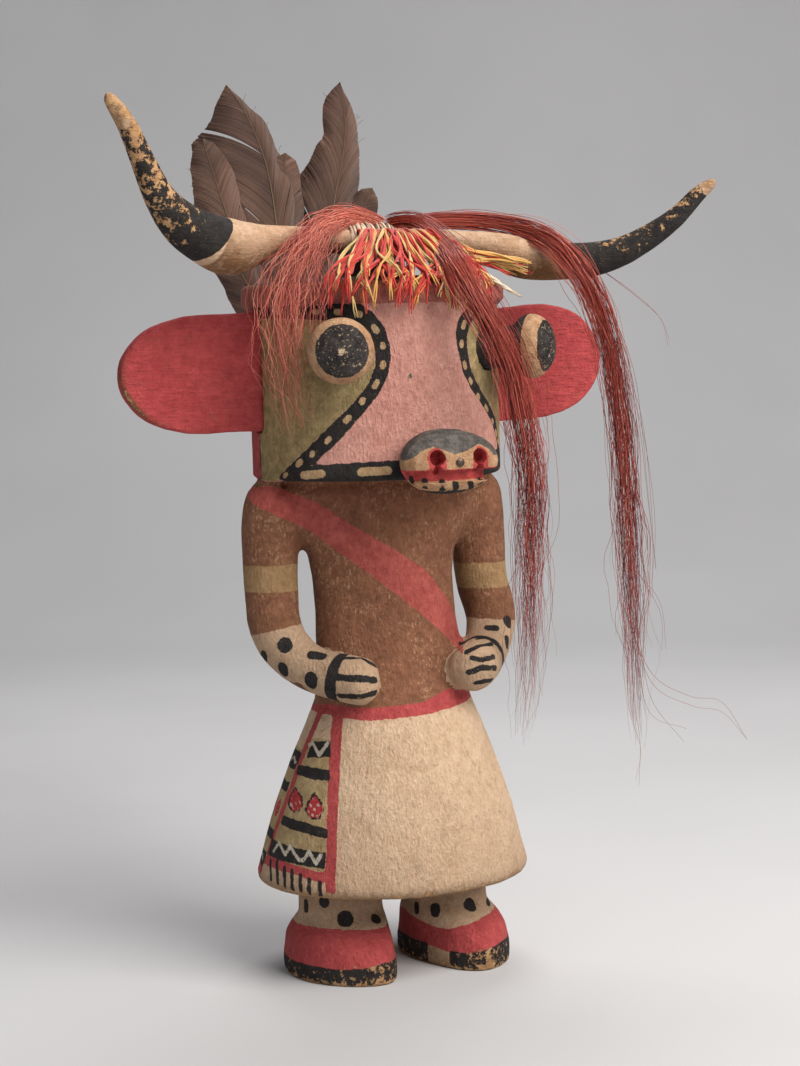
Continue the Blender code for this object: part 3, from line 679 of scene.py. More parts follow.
def paint_face_bands(paint, head):
    """The black bands between pink and olive, the one along the head's foot, and the seams at both sides."""
    outer, inner = head_line(*RIGHT_BAND_OUTER), head_line(*RIGHT_BAND_INNER)
    corner = [(-HEAD_SIDE, HEAD_HIGH + 1), (outer[0][0], HEAD_HIGH + 1)]
    paint.add("black", head.inside([*corner, *outer, *inner[::-1], (-HEAD_SIDE, inner[0][1] + 1)]))

    outer, inner = head_line(*LEFT_BAND_OUTER), head_line(*LEFT_BAND_INNER)
    hidden = hidden_band(inner)
    edge = [(x - LEFT_BAND_WIDTH, z) for x, z in hidden]
    corner = [(HEAD_SIDE, HEAD_HIGH - 3), (HEAD_SIDE, HEAD_HIGH + 1), (outer[0][0], HEAD_HIGH + 1)]
    paint.add("black", head.inside([*outer[:-1], *edge, *hidden[::-1], *inner[::-1], *corner]))

    upper, lower = head_line(*BOTTOM_UPPER), head_line(*BOTTOM_LOWER)
    end = [(hidden[0][0], upper[-1][1]), (hidden[0][0] + 6, lower[-1][1])]
    foot = np.minimum(
        polygon_depth(head.unrolled, [*upper, *end, *lower[::-1]]), head.radius - HEAD_RADIUS / MM + 3.0
    )
    paint.add("black", np.where(head.z < HEAD_HIGH, foot, NOWHERE))
    seam = 0.55 - np.abs(np.abs(head.round) - HEAD_SIDE + 0.3)
    paint.add("black", np.minimum(seam, head.wall))


def paint_dot_row(paint, head, spots, long, wide):
    """Oblong ochre dots that follow their row, no two quite alike."""
    line = head_line(*spots)
    for index, middle in enumerate(line):
        run = line[min(index + 1, len(line) - 1)] - line[max(index - 1, 0)]
        run = run / max(np.linalg.norm(run), 1e-6) * (long + 0.3 * math.sin(index * 2.3))
        radius = wide + 0.12 * math.sin(index * 4.1)
        paint.add("ochre", radius - line_distance(head.unrolled, [middle - run, middle + run]))


def paint_face_dots(paint, head):
    """The rows that show, their unseen ends, and the two long bars at the foot."""
    paint_dot_row(paint, head, RIGHT_DOTS, 0.6, 1.1)
    paint_dot_row(paint, head, LEFT_DOTS, 0.7, 1.05)
    first, second, _ = hidden_band(head_line(*LEFT_BAND_INNER))
    hidden_dots = [
        (first[0] - 2.4, first[1] + 4), (second[0] - 2.6, second[1] + 7), (second[0] - 2.4, second[1]),
    ]
    for spot in hidden_dots:
        paint.add("ochre", 1.3 - line_distance(head.unrolled, [spot]))
    for x in np.arange(head_spot(*LEFT_BAND_OUTER[0])[0] + 8, HEAD_SIDE, 6.5):
        bar = [(x - 0.8, HEAD_HIGH - 1.8), (x + 0.8, HEAD_HIGH - 1.8)]
        paint.add("ochre", 1.3 - line_distance(head.unrolled, bar))
    for ends in BOTTOM_BARS:
        paint.add("ochre", 1.5 - line_distance(head.unrolled, head_line(*ends)))
    taller = np.array([1.0, 0.7])
    paint.add(
        "grey", 0.75 - line_distance(head.unrolled * taller, [np.array(head_spot(*FACE_MARK)) * taller])
    )


def paint_head(paint, points):
    """The face and the brim above it, dusty red at its rim and grey on top."""
    head = HeadPlace(points)
    paint_face(paint, head)
    paint_face_bands(paint, head)
    paint_face_dots(paint, head)
    paint.add("dusty_red", np.minimum(head.z - HEAD_HIGH + 0.1, head.radius - 40.0))
    paint.add("grey", np.minimum(head.z - (BRIM_TOP - HEAD_BOTTOM) / MM + 0.9, 46.8 - head.radius))
    for name in ("olive", "black", "ochre", "pale"):
        paint.layers[name] = np.where(head.z > HEAD_HIGH + 0.5, NOWHERE, paint.layers[name])


# The figure's paint, in photograph pixels: the sash's edges, from the right shoulder to the left hip
SASH_UPPER = [
    (247, 494), (252, 487), (270, 486), (288, 491), (319, 504), (357, 528), (391, 547), (425, 569),
    (447, 598), (459, 622), (463, 632),
]
SASH_LOWER = [
    (248, 500), (258, 508), (280, 517), (305, 528), (333, 548), (367, 572), (398, 596), (425, 617),
    (444, 634), (456, 647), (463, 656),
]
# The sash's middle line out of sight, as degrees round from straight ahead and mm above the floor
SASH_START = (-100, 184)
SASH_BEHIND = [(88, 103), (130, 116), (180, 140), (225, 166), (256, 184)]
SASH_HALF_WIDTH = 4.3
SASH_FOOT = 99.0
CHEST_GIRTH = 30.0

# Arms, by side: the armband's two edges, the line where the forearm's cream begins, and the cuff
ARMBANDS = {-1: ((270, 566), (270, 593)), 1: ((487, 563), (487, 588))}
FOREARM_ENDS = {-1: ((252, 640), (299, 624)), 1: ((477, 618), (515, 607))}
CUFFS = {-1: (331, 680), 1: (503, 656)}
# Each dab's middle, and its width and height in pixels
FOREARM_SPOTS = [
    (285, 645, 14, 14), (264, 657, 8, 13), (283, 670, 11, 14), (311, 681, 13, 16), (492, 628, 13, 6),
    (508, 622, 11, 12), (507, 642, 8, 14),
]
LEG_SPOTS = [
    (306, 906, 6, 13), (324, 902, 10, 10), (345, 919, 15, 15), (376, 919, 9, 11), (416.5, 908, 5, 12),
    (435, 910, 9, 13), (470, 905.5, 13, 14), (488, 902, 4, 9),
]
# Brush strokes with their radius in mm: a long dab, the gaps between the fingers, and the left cuff
HAND_STROKES = [
    ([(312, 655), (322, 656)], 1.95),
    ([(341, 658), (362, 658), (376, 666)], 0.95),
    ([(338, 677.5), (376, 680)], 1.25),
    ([(340, 696), (360, 697), (376, 693)], 1.25),
    ([(466, 652), (478, 646), (492, 644)], 0.95),
    ([(472, 658), (482, 660), (494, 657)], 1.0),
    ([(469, 672.5), (482, 668), (496, 668)], 1.1),
    ([(476, 683), (492, 680)], 1.0),
    ([(477, 639), (487, 637), (496, 641), (501, 649), (503, 659), (502, 669), (498, 677)], 1.0),
]
# Spots where the photograph doesn't show: the share of the arm's length, and the turn about it in radians
HIDDEN_ARM_SPOTS = [(0.60, 2.9), (0.66, 3.9), (0.73, 3.1), (0.79, 4.0)]

# The kilt, with its belt's and hem's levels in mm above the floor
KILT_FOOT = 32.5
KILT_TOP = 101.0
BELT_UPPER = [(312, 702), (330, 704), (366, 708), (424, 702), (465, 688)]
BELT_LOWER = [(317, 712), (330, 715), (366, 721), (424, 715), (470, 698)]
# The painted cloth that hangs from the belt: its field, its red border, and what is drawn on it
CLOTH_FIELD = [
    (321, 738), (311, 738), (304, 751), (292, 786), (281, 815), (272, 840), (268, 853), (291, 864),
    (325, 873), (326, 838), (328, 800), (330, 760), (331, 740),
]
CLOTH_BORDER = [(337.5, 717), (334.75, 760), (333, 800), (331.25, 838), (330.25, 872), (330.25, 889.5)]
CLOTH_SLANT = [(321, 711), (316, 722), (304, 751), (292, 786), (281, 815), (272, 840), (268, 853)]
CLOTH_HEM = [(262, 852), (291, 863.5), (325, 873), (325, 884), (291, 873), (262, 861)]
CLOTH_BARS = [
    [(313, 741), (331, 741), (330.5, 757), (306, 757.5)],
    [(298, 764), (312, 767), (330, 770), (330, 781), (312, 779), (296, 774)],
    [(283, 815), (305, 822), (328, 829), (328, 839.5), (304, 833), (280, 824)],
    [(272, 838), (326, 853), (325, 869), (268, 854)],
]
CLOTH_ZIGZAGS = [
    ([(309, 745), (313, 743), (319, 755), (328, 743)], 0.62),
    (
        [
            (273, 852), (279, 842), (285, 855), (290, 846), (298, 859), (303, 861), (309, 851), (316, 864),
            (321, 855),
        ],
        0.68,
    ),
]
FLOWERS = [(295.5, 800, 15, 25), (314.5, 806.5, 18.5, 26.5)]
# One flower's outline and dots, as shares of its width and height about its middle
FLOWER_OUTLINE = [
    (0, -0.5), (0.36, -0.16), (0.5, 0.14), (0.24, 0.44), (-0.2, 0.46), (-0.5, 0.14), (-0.34, -0.16),
]
FLOWER_DOTS = [
    (-0.05, -0.26), (-0.22, -0.04), (0.18, -0.06), (-0.30, 0.20), (0.0, 0.12), (0.30, 0.18), (-0.12, 0.34),
    (0.16, 0.34),
]
HEM_STROKES = [
    (270.5, 858, 880), (277, 861, 883), (284.5, 865, 887), (292, 868, 889), (300.5, 872, 892),
    (309, 876, 894), (320, 880, 896),
]
# The cloth's far end, in mm: how broad it is, its bars' top and foot above the floor, and its dots
FAR_CLOTH_WIDTH = 19.0
FAR_CLOTH_BARS = [(83, 76.5), (72, 68.5), (54.5, 51), (46, 40.5)]
FAR_FLOWERS = (5.5, 12.5)
FAR_FLOWER_Z = 62
FAR_FLOWER_DOTS = [(-1, -1), (1.0, 0.6), (0.2, -2.2), (-0.8, 1.4)]

# Legs and moccasins: the shoe's and the sole's upper edge, by side, and the left sole's bare stretch
LEG_X = 21.2
LEG_Y = -4.5
LEG_SPOT_REACH = 15.6
# Spots behind, as degrees round the leg and mm above the floor, with one more on each leg's outer side
HIDDEN_LEG_SPOTS = [(120, 30), (150, 26), (180, 31), (212, 26.5), (240, 30.5)]
OUTER_LEG_SPOTS = {-1: (95, 26), 1: (268, 26)}
SHOE_EDGES = {
    -1: [(296, 922), (310, 926), (336, 929), (360, 930), (381, 928)],
    1: [(404, 908), (420, 920), (436, 927), (450, 929), (466, 924), (487, 914)],
}
SOLE_EDGES = {
    -1: [(291, 959), (305, 964), (320, 967), (345, 970), (368, 968), (384, 963)],
    1: [(432, 944), (447, 950), (465, 953), (485, 950), (500, 942)],
}
BARE_INSTEP = [(428, 958), (450, 964)]


def unrolled(where):
    """Points below the head as mm round and mm up, on a cone that follows the figure's girth."""
    where = np.atleast_2d(where) - AXIS
    level = where[:, 2] / MM
    girth = np.interp(level, [36, 50, 100, 110, 180], [49, 46, 28, 27, 30])
    return np.stack([np.arctan2(where[:, 0], -where[:, 1]) * girth, level], 1)


def level_at(place, line):
    """A line's level at each point's own place round the figure."""
    order = np.argsort(line[:, 0])
    return np.interp(place[:, 0], line[order, 0], line[order, 1])


def level_round(surface, centre, pairs, turn):
    """A level in mm that runs round an upright line through seen points, and joins its two ends behind."""
    spots = surface.spots(*pairs) - centre
    at = np.arctan2(spots[:, 0], -spots[:, 1])
    order = np.argsort(at)
    at, level = at[order], spots[order, 2] / MM
    return np.interp(turn, [*at, at[0] + 2 * math.pi], [*level, level[0]], period=2 * math.pi)


class Figure:
    """The body below the head: where its points lie, and brushes that paint what the photograph shows."""

    def __init__(self, paint, points, normal, surface):
        self.paint, self.points, self.normal, self.surface = paint, points, normal, surface
        self.flat = points - AXIS
        self.turn = np.arctan2(self.flat[:, 0], -self.flat[:, 1])
        self.z = points[:, 2] / MM
        self.below = self.z < HEAD_BOTTOM / MM - 0.2
        self.place = unrolled(points)
        self.arms = {side: along_path(points, *arm_path(side)) for side in ARMS}
        arm_gap = np.minimum(self.arms[-1][0], self.arms[1][0])
        self.in_front = self.flat[:, 1] < -21 * MM
        self.on_arm = arm_gap < 2.2
        self.on_hand = (arm_gap < 0.9) & self.in_front
        self.kilt = (self.z < KILT_TOP) & (self.z > KILT_FOOT)
        self.belt_top = level_at(self.place, unrolled(surface.spots(*BELT_UPPER)))
        self.belt_foot = level_at(self.place, unrolled(surface.spots(*BELT_LOWER)))
        self.cloth = self.kilt & (self.z < self.belt_foot + 0.5)

    def where(self, layer, mask, depth):
        self.paint.add(layer, np.where(mask, depth, NOWHERE))

    def stroke(self, layer, pairs, radius):
        """A brush stroke of that radius in mm along a line in the photograph."""
        self.paint.add(layer, radius - line_distance(self.points, self.surface.traced(pairs)) / MM)

    def spot(self, x, y, across, tall):
        """A black dab seen at a photograph point, with its size there in pixels."""
        lying = across > tall
        reach = abs(across - tall) / 2
        dx, dy = (reach, 0) if lying else (0, reach)
        radius = min(across, tall) * 0.19 + (0.55 if lying else 0.3)
        self.stroke("black", [(x - dx, y - dy), (x + dx, y + dy)], radius)

    def cloth_shape(self, layer, pairs):
        """Fills an outline on the kilt, and returns its depth."""
        depth = polygon_depth(self.place, unrolled(self.surface.spots(*pairs)))
        self.where(layer, self.cloth, depth)
        return depth

    def cloth_stroke(self, layer, pairs, radius):
        line = unrolled(self.surface.spots(*pairs))
        self.where(layer, self.cloth, radius - line_distance(self.place, line))


def paint_sash(figure):
    """As the photograph shows it in front, and on round the back to the same shoulder."""
    seen = polygon_depth(photo_point(figure.points), SASH_UPPER + SASH_LOWER[::-1]) * PIXEL / MM
    edges = [figure.surface.spots(*line[3:-1]) for line in (SASH_UPPER, SASH_LOWER)]
    middle = (edges[0] + edges[1]) / 2 - AXIS
    front = np.stack([np.degrees(np.arctan2(middle[:, 0], -middle[:, 1])), middle[:, 2] / MM], 1)
    line = np.vstack([[SASH_START], front, SASH_BEHIND])
    line[:, 0] = np.radians(line[:, 0]) * CHEST_GIRTH
    spread = np.stack([figure.turn * CHEST_GIRTH, figure.z], 1)
    wrapped = spread + np.outer(np.where(figure.turn < 0, 2 * math.pi * CHEST_GIRTH, 0), [1, 0])
    hidden = SASH_HALF_WIDTH - np.minimum(line_distance(spread, line), line_distance(wrapped, line))
    in_view = figure.normal @ FORWARD < -0.04
    torso = figure.below & (~figure.on_arm | in_view) & ~figure.kilt & (figure.z > SASH_FOOT)
    figure.where("sash", torso, np.where(in_view, seen, hidden))


def paint_arms(figure):
    """Ochre armbands, and cream forearms with black spots, cuffs and finger gaps."""
    for side, (gap, run) in figure.arms.items():
        top, foot = figure.surface.spots(*ARMBANDS[side])[:, 2] / MM
        figure.where("band", (gap < 2.4) & figure.below, np.minimum(top - figure.z, figure.z - foot))
    for side, (gap, run) in figure.arms.items():
        outer, inner = figure.surface.spots(*FOREARM_ENDS[side])
        down = np.cross(inner - outer, FORWARD)
        down /= -np.linalg.norm(down) if down[2] > 0 else np.linalg.norm(down)
        skin = np.where(figure.in_front, 0.9, 2.4)
        figure.where("cream", (gap < skin) & figure.below, (figure.points - outer) @ down / MM)
    for spot in FOREARM_SPOTS:
        figure.spot(*spot)
    for side, (gap, run) in figure.arms.items():
        cuff = figure.surface.spots(CUFFS[side])
        figure.where("black", gap < 1.6, 1.9 - np.abs(run - along_path(cuff, *arm_path(side))[1][0]))
    for pairs, radius in HAND_STROKES:
        figure.stroke("black", pairs, radius)


def paint_hidden_arm_spots(figure):
    """More spots where the photograph doesn't show, spaced as the seen ones are."""
    for side in ARMS:
        path, radii = arm_path(side)
        for share, angle in HIDDEN_ARM_SPOTS:
            at = share * (len(path) - 1)
            k = int(at)
            step = path[k + 1] - path[k]
            run = step / np.linalg.norm(step)
            out = np.cross(run, [0, 0, 1.0])
            out /= np.linalg.norm(out)
            over = np.cross(out, run)
            offset = out * math.cos(angle) * side + over * math.sin(angle)
            spot = path[k] + step * (at - k) + offset * radii[k]
            if photo_hides(figure.surface, spot):
                figure.paint.add("black", 2.1 - np.linalg.norm(figure.points - spot, axis=1) / MM)


def paint_kilt(figure):
    """Cream cloth under a red belt."""
    z, top, foot = figure.z, figure.belt_top, figure.belt_foot
    figure.where("cream", figure.kilt & ~(figure.on_arm & (z > 98)), np.minimum(KILT_TOP - z, 8))
    figure.paint.cut("cream", np.where((z < 110) & ~figure.on_hand, z - (top + foot) / 2, NOWHERE))
    belt = (z > 85) & (z < 112) & ~figure.on_hand & ~(figure.on_arm & (z > top + 1))
    figure.where("red", belt, np.minimum(top - z, z - foot))


def paint_cloth(figure):
    """The painted cloth at the right: a pale field in a red border, with bars, zigzags and flowers."""
    figure.cloth_shape("pale", CLOTH_FIELD)
    figure.cloth_stroke("red", CLOTH_BORDER, 1.9)
    figure.cloth_stroke("red", CLOTH_SLANT, 1.25)
    figure.cloth_shape("red", CLOTH_HEM)
    for bar in CLOTH_BARS:
        figure.cloth_shape("black", bar)
    for zigzag, radius in CLOTH_ZIGZAGS:
        figure.cloth_stroke("white", zigzag, radius)
    for x, y, across, tall in FLOWERS:
        depth = figure.cloth_shape("flower", [(x + dx * across, y + dy * tall) for dx, dy in FLOWER_OUTLINE])
        figure.where("black", figure.cloth, 0.42 - np.abs(depth))
        for dx, dy in FLOWER_DOTS:
            figure.cloth_stroke("white", [(x + dx * across, y + dy * tall)], 0.58)
    for x, top, foot in HEM_STROKES:
        figure.cloth_stroke("black", [(x, top + 3), (x + 0.6, foot)], 0.85)


def paint_far_cloth(figure):
    """The cloth's other end, mirrored beyond the slanted line, partly out of the photograph's sight."""
    z = figure.z
    top, foot = unrolled(figure.surface.spots(CLOTH_SLANT[0], CLOTH_SLANT[-1]))
    fold = foot[0] + (top[0] - foot[0]) * (z - foot[1]) / (top[1] - foot[1])
    x = (fold - figure.place[:, 0]) / np.interp(z, [36, 100], [1.0, 0.62])
    width = FAR_CLOTH_WIDTH
    beyond = figure.cloth & (x > 0)
    figure.where("pale", beyond & (z < 84), np.minimum(x, width - x))
    for bar_top, bar_foot in FAR_CLOTH_BARS:
        bar = np.minimum(np.minimum(bar_top - z, z - bar_foot), np.minimum(x - 1.2, width - 1 - x))
        figure.where("black", beyond, bar)
    figure.where("red", beyond & (z < 97), 1.5 - np.abs(x - width - 1.0))
    figure.where("red", beyond & (x < width + 2), np.minimum(40.6 - z, z - 37.4))
    zigzag = 1.9 * np.abs(((x / 4.0) % 2) - 1) - 0.95
    for middle in (79.7, 43.2):
        figure.where("white", beyond & (x > 2) & (x < width - 2), 0.5 - np.abs(z - middle - zigzag))
    for middle in FAR_FLOWERS:
        figure.where("flower", beyond, 2.6 - np.hypot(x - middle, (z - FAR_FLOWER_Z) * 0.75))
        for dx, dz in FAR_FLOWER_DOTS:
            figure.where("white", beyond, 0.5 - np.hypot(x - middle - dx, z - FAR_FLOWER_Z - dz))


def paint_legs(figure):
    """Cream with black spots."""
    figure.where("cream", figure.z <= 33.4, figure.z - 9.0)
    for spot in LEG_SPOTS:
        figure.spot(*spot)
    for side in ARMS:
        for angle, level in [*HIDDEN_LEG_SPOTS, OUTER_LEG_SPOTS[side]]:
            a = math.radians(angle)
            x, y = LEG_X * side + LEG_SPOT_REACH * math.sin(a), LEG_Y - LEG_SPOT_REACH * math.cos(a)
            spot = AXIS + np.array([x, y, level]) * MM
            figure.where("black", figure.z < 34, 2.0 - np.linalg.norm(figure.points - spot, axis=1) / MM)


def paint_moccasins(figure):
    """Red above dark soles, of which the left one is bare at the instep."""
    x, z = figure.flat[:, 0], figure.z
    for side in ARMS:
        centre = AXIS + np.array([LEG_X * side, LEG_Y, 0.0]) * MM
        toward = np.arctan2(figure.points[:, 0] - centre[0], centre[1] - figure.points[:, 1])
        top = level_round(figure.surface, centre, SHOE_EDGES[side], toward)
        sole = level_round(figure.surface, centre, SOLE_EDGES[side], toward)
        foot = (x * side > 0) & (z < 32)
        figure.where("red", foot, np.minimum(top - z, z - sole + 0.6))
        figure.where("black", foot & (z < 14), sole - z)
    front, back = sorted(figure.surface.spots(*BARE_INSTEP)[:, 1])
    bare = np.minimum(figure.points[:, 1] - front, back - figure.points[:, 1]) / MM
    figure.where("cream", (x > 0) & (z < 9), np.minimum(bare, 8.4 - z))
    figure.paint.cut("black", np.where((x > 0) & (z < 14) & (x < 24 * MM), bare, NOWHERE))


def paint_figure(paint, points, normal, surface):
    """Torso, arms, kilt, legs and moccasins."""
    figure = Figure(paint, points, normal, surface)
    paint_sash(figure)
    paint_arms(figure)
    paint_hidden_arm_spots(figure)
    paint_kilt(figure)
    paint_cloth(figure)
    paint_far_cloth(figure)
    paint_legs(figure)
    paint_moccasins(figure)


BODY_LAYERS = [
    "pink", "olive", "cream", "pale", "band", "sash", "red", "dusty_red", "flower", "grey", "black", "ochre",
    "white",
]


def wear_body(mesh, points, band):
    """Where paint has worn off or browned: at edges, soles, fists, hem and armbands, with painted shade on
    the legs under the kilt.
    """
    z = points[:, 2] / MM
    on_head = (z > HEAD_BOTTOM / MM - 1) & (z < HEAD_TOP / MM)
    arm_gap = np.minimum(*(along_path(points, *arm_path(side))[0] for side in ARMS))
    fist = (arm_gap < 2.4) & (points[:, 1] < AXIS[1] - 24 * MM) & (z < 135)
    levels = [z < 2.5, z < 9, z < 32, z < 40, z > BRIM_TOP / MM - 2.5, z > HEAD_TOP / MM]
    share = np.select(levels, [0.35, 0.5, 0.35, 0.9, 0.6, 0.3], 0.28)
    add_values(mesh, "edge", edge_wear(mesh) * np.where(on_head, 0.0, share))
    rub = np.where(z < 8.5, np.interp(z, [0.0, 8.5], [0.80, 0.64]), 0.0)
    add_values(mesh, "rub", np.where(fist, 0.30, rub))
    # Browner on the soles, painted shade on the legs that is darkest just under the kilt, and darker towards
    # the kilt's hem
    stain_and_shade = np.interp(
        z, [0, 9, 12, 20, 32, 33, 35, 40, 60, 75], [0.5, 0.4, 0.05, 0.30, 0.55, 0.75, 0.45, 0.20, 0.06, 0.0]
    )
    forearm = (arm_gap < 3.2) & (z < 135) & (z > 95)
    add_values(mesh, "stain_and_shade", np.where(forearm | (band > -1), 0.30, stain_and_shade))


def build_body():
    mesh = body_mesh()
    points = coords(mesh)
    on_head = points[:, 2] > HEAD_BOTTOM - 0.2 * MM
    paint, head_paint = Paint(len(points), BODY_LAYERS), Paint(len(points), BODY_LAYERS)
    paint_figure(paint, points, normals(mesh), Surface(mesh))
    paint_head(head_paint, points)
    for name in BODY_LAYERS:
        paint.layers[name] = np.where(on_head, head_paint.layers[name], paint.layers[name])
    paint.store(mesh)
    wear_body(mesh, points, paint.layers["band"])
    look = painted_look("painted_wood_body", "brown", {name: name for name in BODY_LAYERS}, relief=1.7)
    body = new_object("body_painted", mesh, look)
    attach(body, "root")
    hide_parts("body")


# Ears, eyes, snout and horns


# The right ear's worn tip lies left of this photograph point and below it
EAR_TIP = (176, 355)
EAR_TIP_FADE = 40


def build_ear(node):
    """A red board, worn to the wood at the seen tip."""
    mesh = carved_copy(node, 0.75 * MM, 4)
    points = coords(mesh)
    swell = (wobble(points, 70.0, 6) * 0.25 + wobble(points, 240.0, 7) * 0.07 - 0.08) * MM
    points += normals(mesh) * swell[:, None]
    set_coords(mesh, points)
    seen = photo_point(points)
    tip = np.clip((EAR_TIP[0] - seen[:, 0]) / EAR_TIP_FADE, 0, 1)
    tip *= np.clip((seen[:, 1] - EAR_TIP[1]) / EAR_TIP_FADE, 0, 1)
    edge = edge_wear(mesh)
    add_values(mesh, "edge", edge * (0.12 + 1.1 * tip))
    add_values(mesh, "stain_and_shade", np.clip(edge * tip * 4.0, 0, 0.8))
    look = painted_look("red_paint_" + node, "ear_red", {}, grain=(0.16, 1.0, 1.0), relief=2.0)
    obj = new_object(node + "_painted", mesh, look)
    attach(obj, "root")
    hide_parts(node)


def lathe(profile, sides):
    """Points and faces of a closed profile of (radius, height), turned about Z. Both ends lie on the axis."""
    points, faces = [(0.0, 0.0, profile[0][1])], []
    rings = profile[1:-1]
    for radius, height in rings:
        for k in range(sides):
            a = 2 * math.pi * k / sides
            points.append((radius * math.cos(a), radius * math.sin(a), height))
    points.append((0.0, 0.0, profile[-1][1]))
    last = len(points) - 1
    for k in range(sides):
        n = (k + 1) % sides
        faces.append((0, 1 + n, 1 + k))
        for ring in range(len(rings) - 1):
            a, b = 1 + ring * sides, 1 + (ring + 1) * sides
            faces.append((a + k, a + n, b + n, b + k))
        a = 1 + (len(rings) - 1) * sides
        faces.append((a + k, a + n, last))
    return np.array(points), faces


def placed(points, base, way):
    """Points about Z, stood on a base with Z turned to a direction."""
    turn = np.array(Vector(way).to_track_quat("Z", "Y").to_matrix())
    return points @ turn.T + base


def build_eye(node, azimuth, aim):
    """A stem and a flattened ball: black behind, a cream ring, and a worn black pupil."""
    base = around(azimuth, HEAD_RADIUS, EYE_Z)
    way = around(aim, 1.0, 0.0) - AXIS
    start = math.asin(EYE_STEM_RADIUS / EYE_BALL_RADIUS)
    profile = [(0.0, -EYE_SEAT), (EYE_STEM_RADIUS * 0.98, -EYE_SEAT)]
    neck = EYE_REACH + EYE_BALL_HALF_DEPTH * math.cos(math.pi - start)
    profile += [(EYE_STEM_RADIUS, -EYE_SEAT + (neck + EYE_SEAT) * t) for t in np.linspace(0.05, 0.95, 14)]
    for turn in np.linspace(math.pi - start, 0.06, 44):
        profile.append((EYE_BALL_RADIUS * math.sin(turn), EYE_REACH + EYE_BALL_HALF_DEPTH * math.cos(turn)))
    profile.append((0.0, EYE_REACH + EYE_BALL_HALF_DEPTH))
    local, faces = lathe(profile, 96)
    mesh = mesh_of(node + "_painted", placed(local, base, way), faces)
    depth_at = (local[:, 2] - EYE_REACH) / EYE_BALL_HALF_DEPTH
    radius = np.hypot(local[:, 0], local[:, 1])
    points = coords(mesh)
    swell = wobble(points, 160.0, 8) * 0.16 * MM + wobble(points, 500.0, 9) * 0.05 * MM - 0.12 * MM
    set_coords(mesh, points + normals(mesh) * swell[:, None])
    paint = Paint(len(points), ["black"])
    pupil = np.where(depth_at > 0, 0.80 * EYE_BALL_RADIUS - radius, -0.02) / MM
    behind = (-0.04 - depth_at) * EYE_BALL_HALF_DEPTH / MM
    paint.add("black", np.maximum(pupil, behind))
    paint.store(mesh)
    on_pupil = np.clip(pupil / 0.8, 0, 1)
    chip = np.clip(1.2 - np.hypot(local[:, 0] + 0.4 * MM, local[:, 1] + 0.2 * MM) / (1.5 * MM), 0, 1)
    chip_here = 0.95 if node == "eye_right" else 0.0
    add_values(mesh, "rub", on_pupil * 0.74 + chip_here * chip)
    add_values(mesh, "stain_and_shade", np.where(depth_at > 0, 0.12, 0.0))
    look = painted_look(
        "black_paint_" + node, "eye_cream", {"black": "black_speckled"}, grain=(1, 1, 1), relief=1.5,
        chip_scale=800, bared="eye_chip",
    )
    obj = new_object(node + "_painted", mesh, look)
    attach(obj, "root")
    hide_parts(node)


# The lower edge of the snout's black top in the photograph, and its teeth: each one's middle and height there
SNOUT_TOP_EDGE = [
    (401, 460), (410, 459), (420, 452), (433, 446.5), (446, 451), (455, 454), (464, 452), (478, 443.5),
    (488, 448), (494, 455),
]
TEETH = [(411, 481, 4), (424.5, 484.6, 7), (442, 486, 8), (455.4, 486, 8), (470.3, 485.4, 7), (480, 481.5, 4)]
# In mm: how far the mouth lies below the snout's middle, and where the nostrils lie about it
MOUTH_DROP = 4.7
NOSTRIL_X = 8.0
NOSTRIL_RISE = 1.7


def build_snout():
    """Worn black above, cream round the nostrils and on the jaw, a red mouth, black strokes for teeth, and
    painted shade deep in the nostrils.
    """
    mesh = carved_copy("snout", 0.42 * MM, 4)
    surface = Surface(mesh)
    points = coords(mesh)
    paint = Paint(len(points), ["red", "top", "black"])
    x, z = (points[:, 0] - AXIS[0]) / MM, points[:, 2] / MM
    line = surface.spots(*SNOUT_TOP_EDGE)
    order = np.argsort(line[:, 0])
    level = np.interp(x, (line[order, 0] - AXIS[0]) / MM, line[order, 2] / MM)
    paint.add("top", z - level)
    mouth = SNOUT_Z / MM - MOUTH_DROP
    ahead = (AXIS[1] - points[:, 1] - HEAD_RADIUS) / MM
    sunk = SNOUT_LENGTH / MM - ahead
    front = ahead > 0.42 * SNOUT_LENGTH / MM
    paint.add("red", np.where(front, np.minimum(z - mouth + 1.5, mouth + 2.5 - z), NOWHERE))
    for at in (-NOSTRIL_X, NOSTRIL_X):
        ramp = line_distance(np.stack([x, z], 1), [(at, mouth + 2), (at * 1.02, mouth + 5.6)])
        paint.add("red", np.where(front, 3.1 - ramp, NOWHERE))
        hole = np.hypot(x - at, z - SNOUT_Z / MM - NOSTRIL_RISE)
        paint.add("red", np.where(front & (sunk > 0.9), 3.5 - hole, NOWHERE))
        # Painted shade: black deep inside each nostril
        paint.add("black", np.where(front & (sunk > 7.5), 2.4 - hole, NOWHERE))
        paint.cut("top", np.where(front & (sunk < 3), 3.4 - hole, NOWHERE))
    for px, py, tall in TEETH:
        ends = surface.spots((px, py - tall / 2), (px + 0.5, py + tall / 2))
        paint.add("black", 1.15 - line_distance(points, ends) / MM)
    bottom = points[:, 2].min() / MM
    paint.add("black", bottom + 1.6 - z)
    paint.add("black", np.where(ahead < 0.25 * SNOUT_LENGTH / MM, 1.5, NOWHERE))
    paint.store(mesh)
    add_values(mesh, "edge", edge_wear(mesh, dull=0.06) * 0.5)
    swell = wobble(points, 150.0, 10) * 0.18 * MM - 0.1 * MM
    set_coords(mesh, points + normals(mesh) * swell[:, None])
    add_values(mesh, "stain_and_shade", np.where(z < mouth - 1, 0.12, 0.22))
    add_values(mesh, "rub", np.where(z > SNOUT_Z / MM, 0.35, 0.0))
    layers = {"red": "mouth_red", "top": "black_dusty", "black": "black"}
    look = painted_look("black_paint_snout", "eye_cream", layers, grain=(1, 1, 1), relief=1.1)
    obj = new_object("snout_painted", mesh, look)
    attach(obj, "root")
    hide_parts("snout")


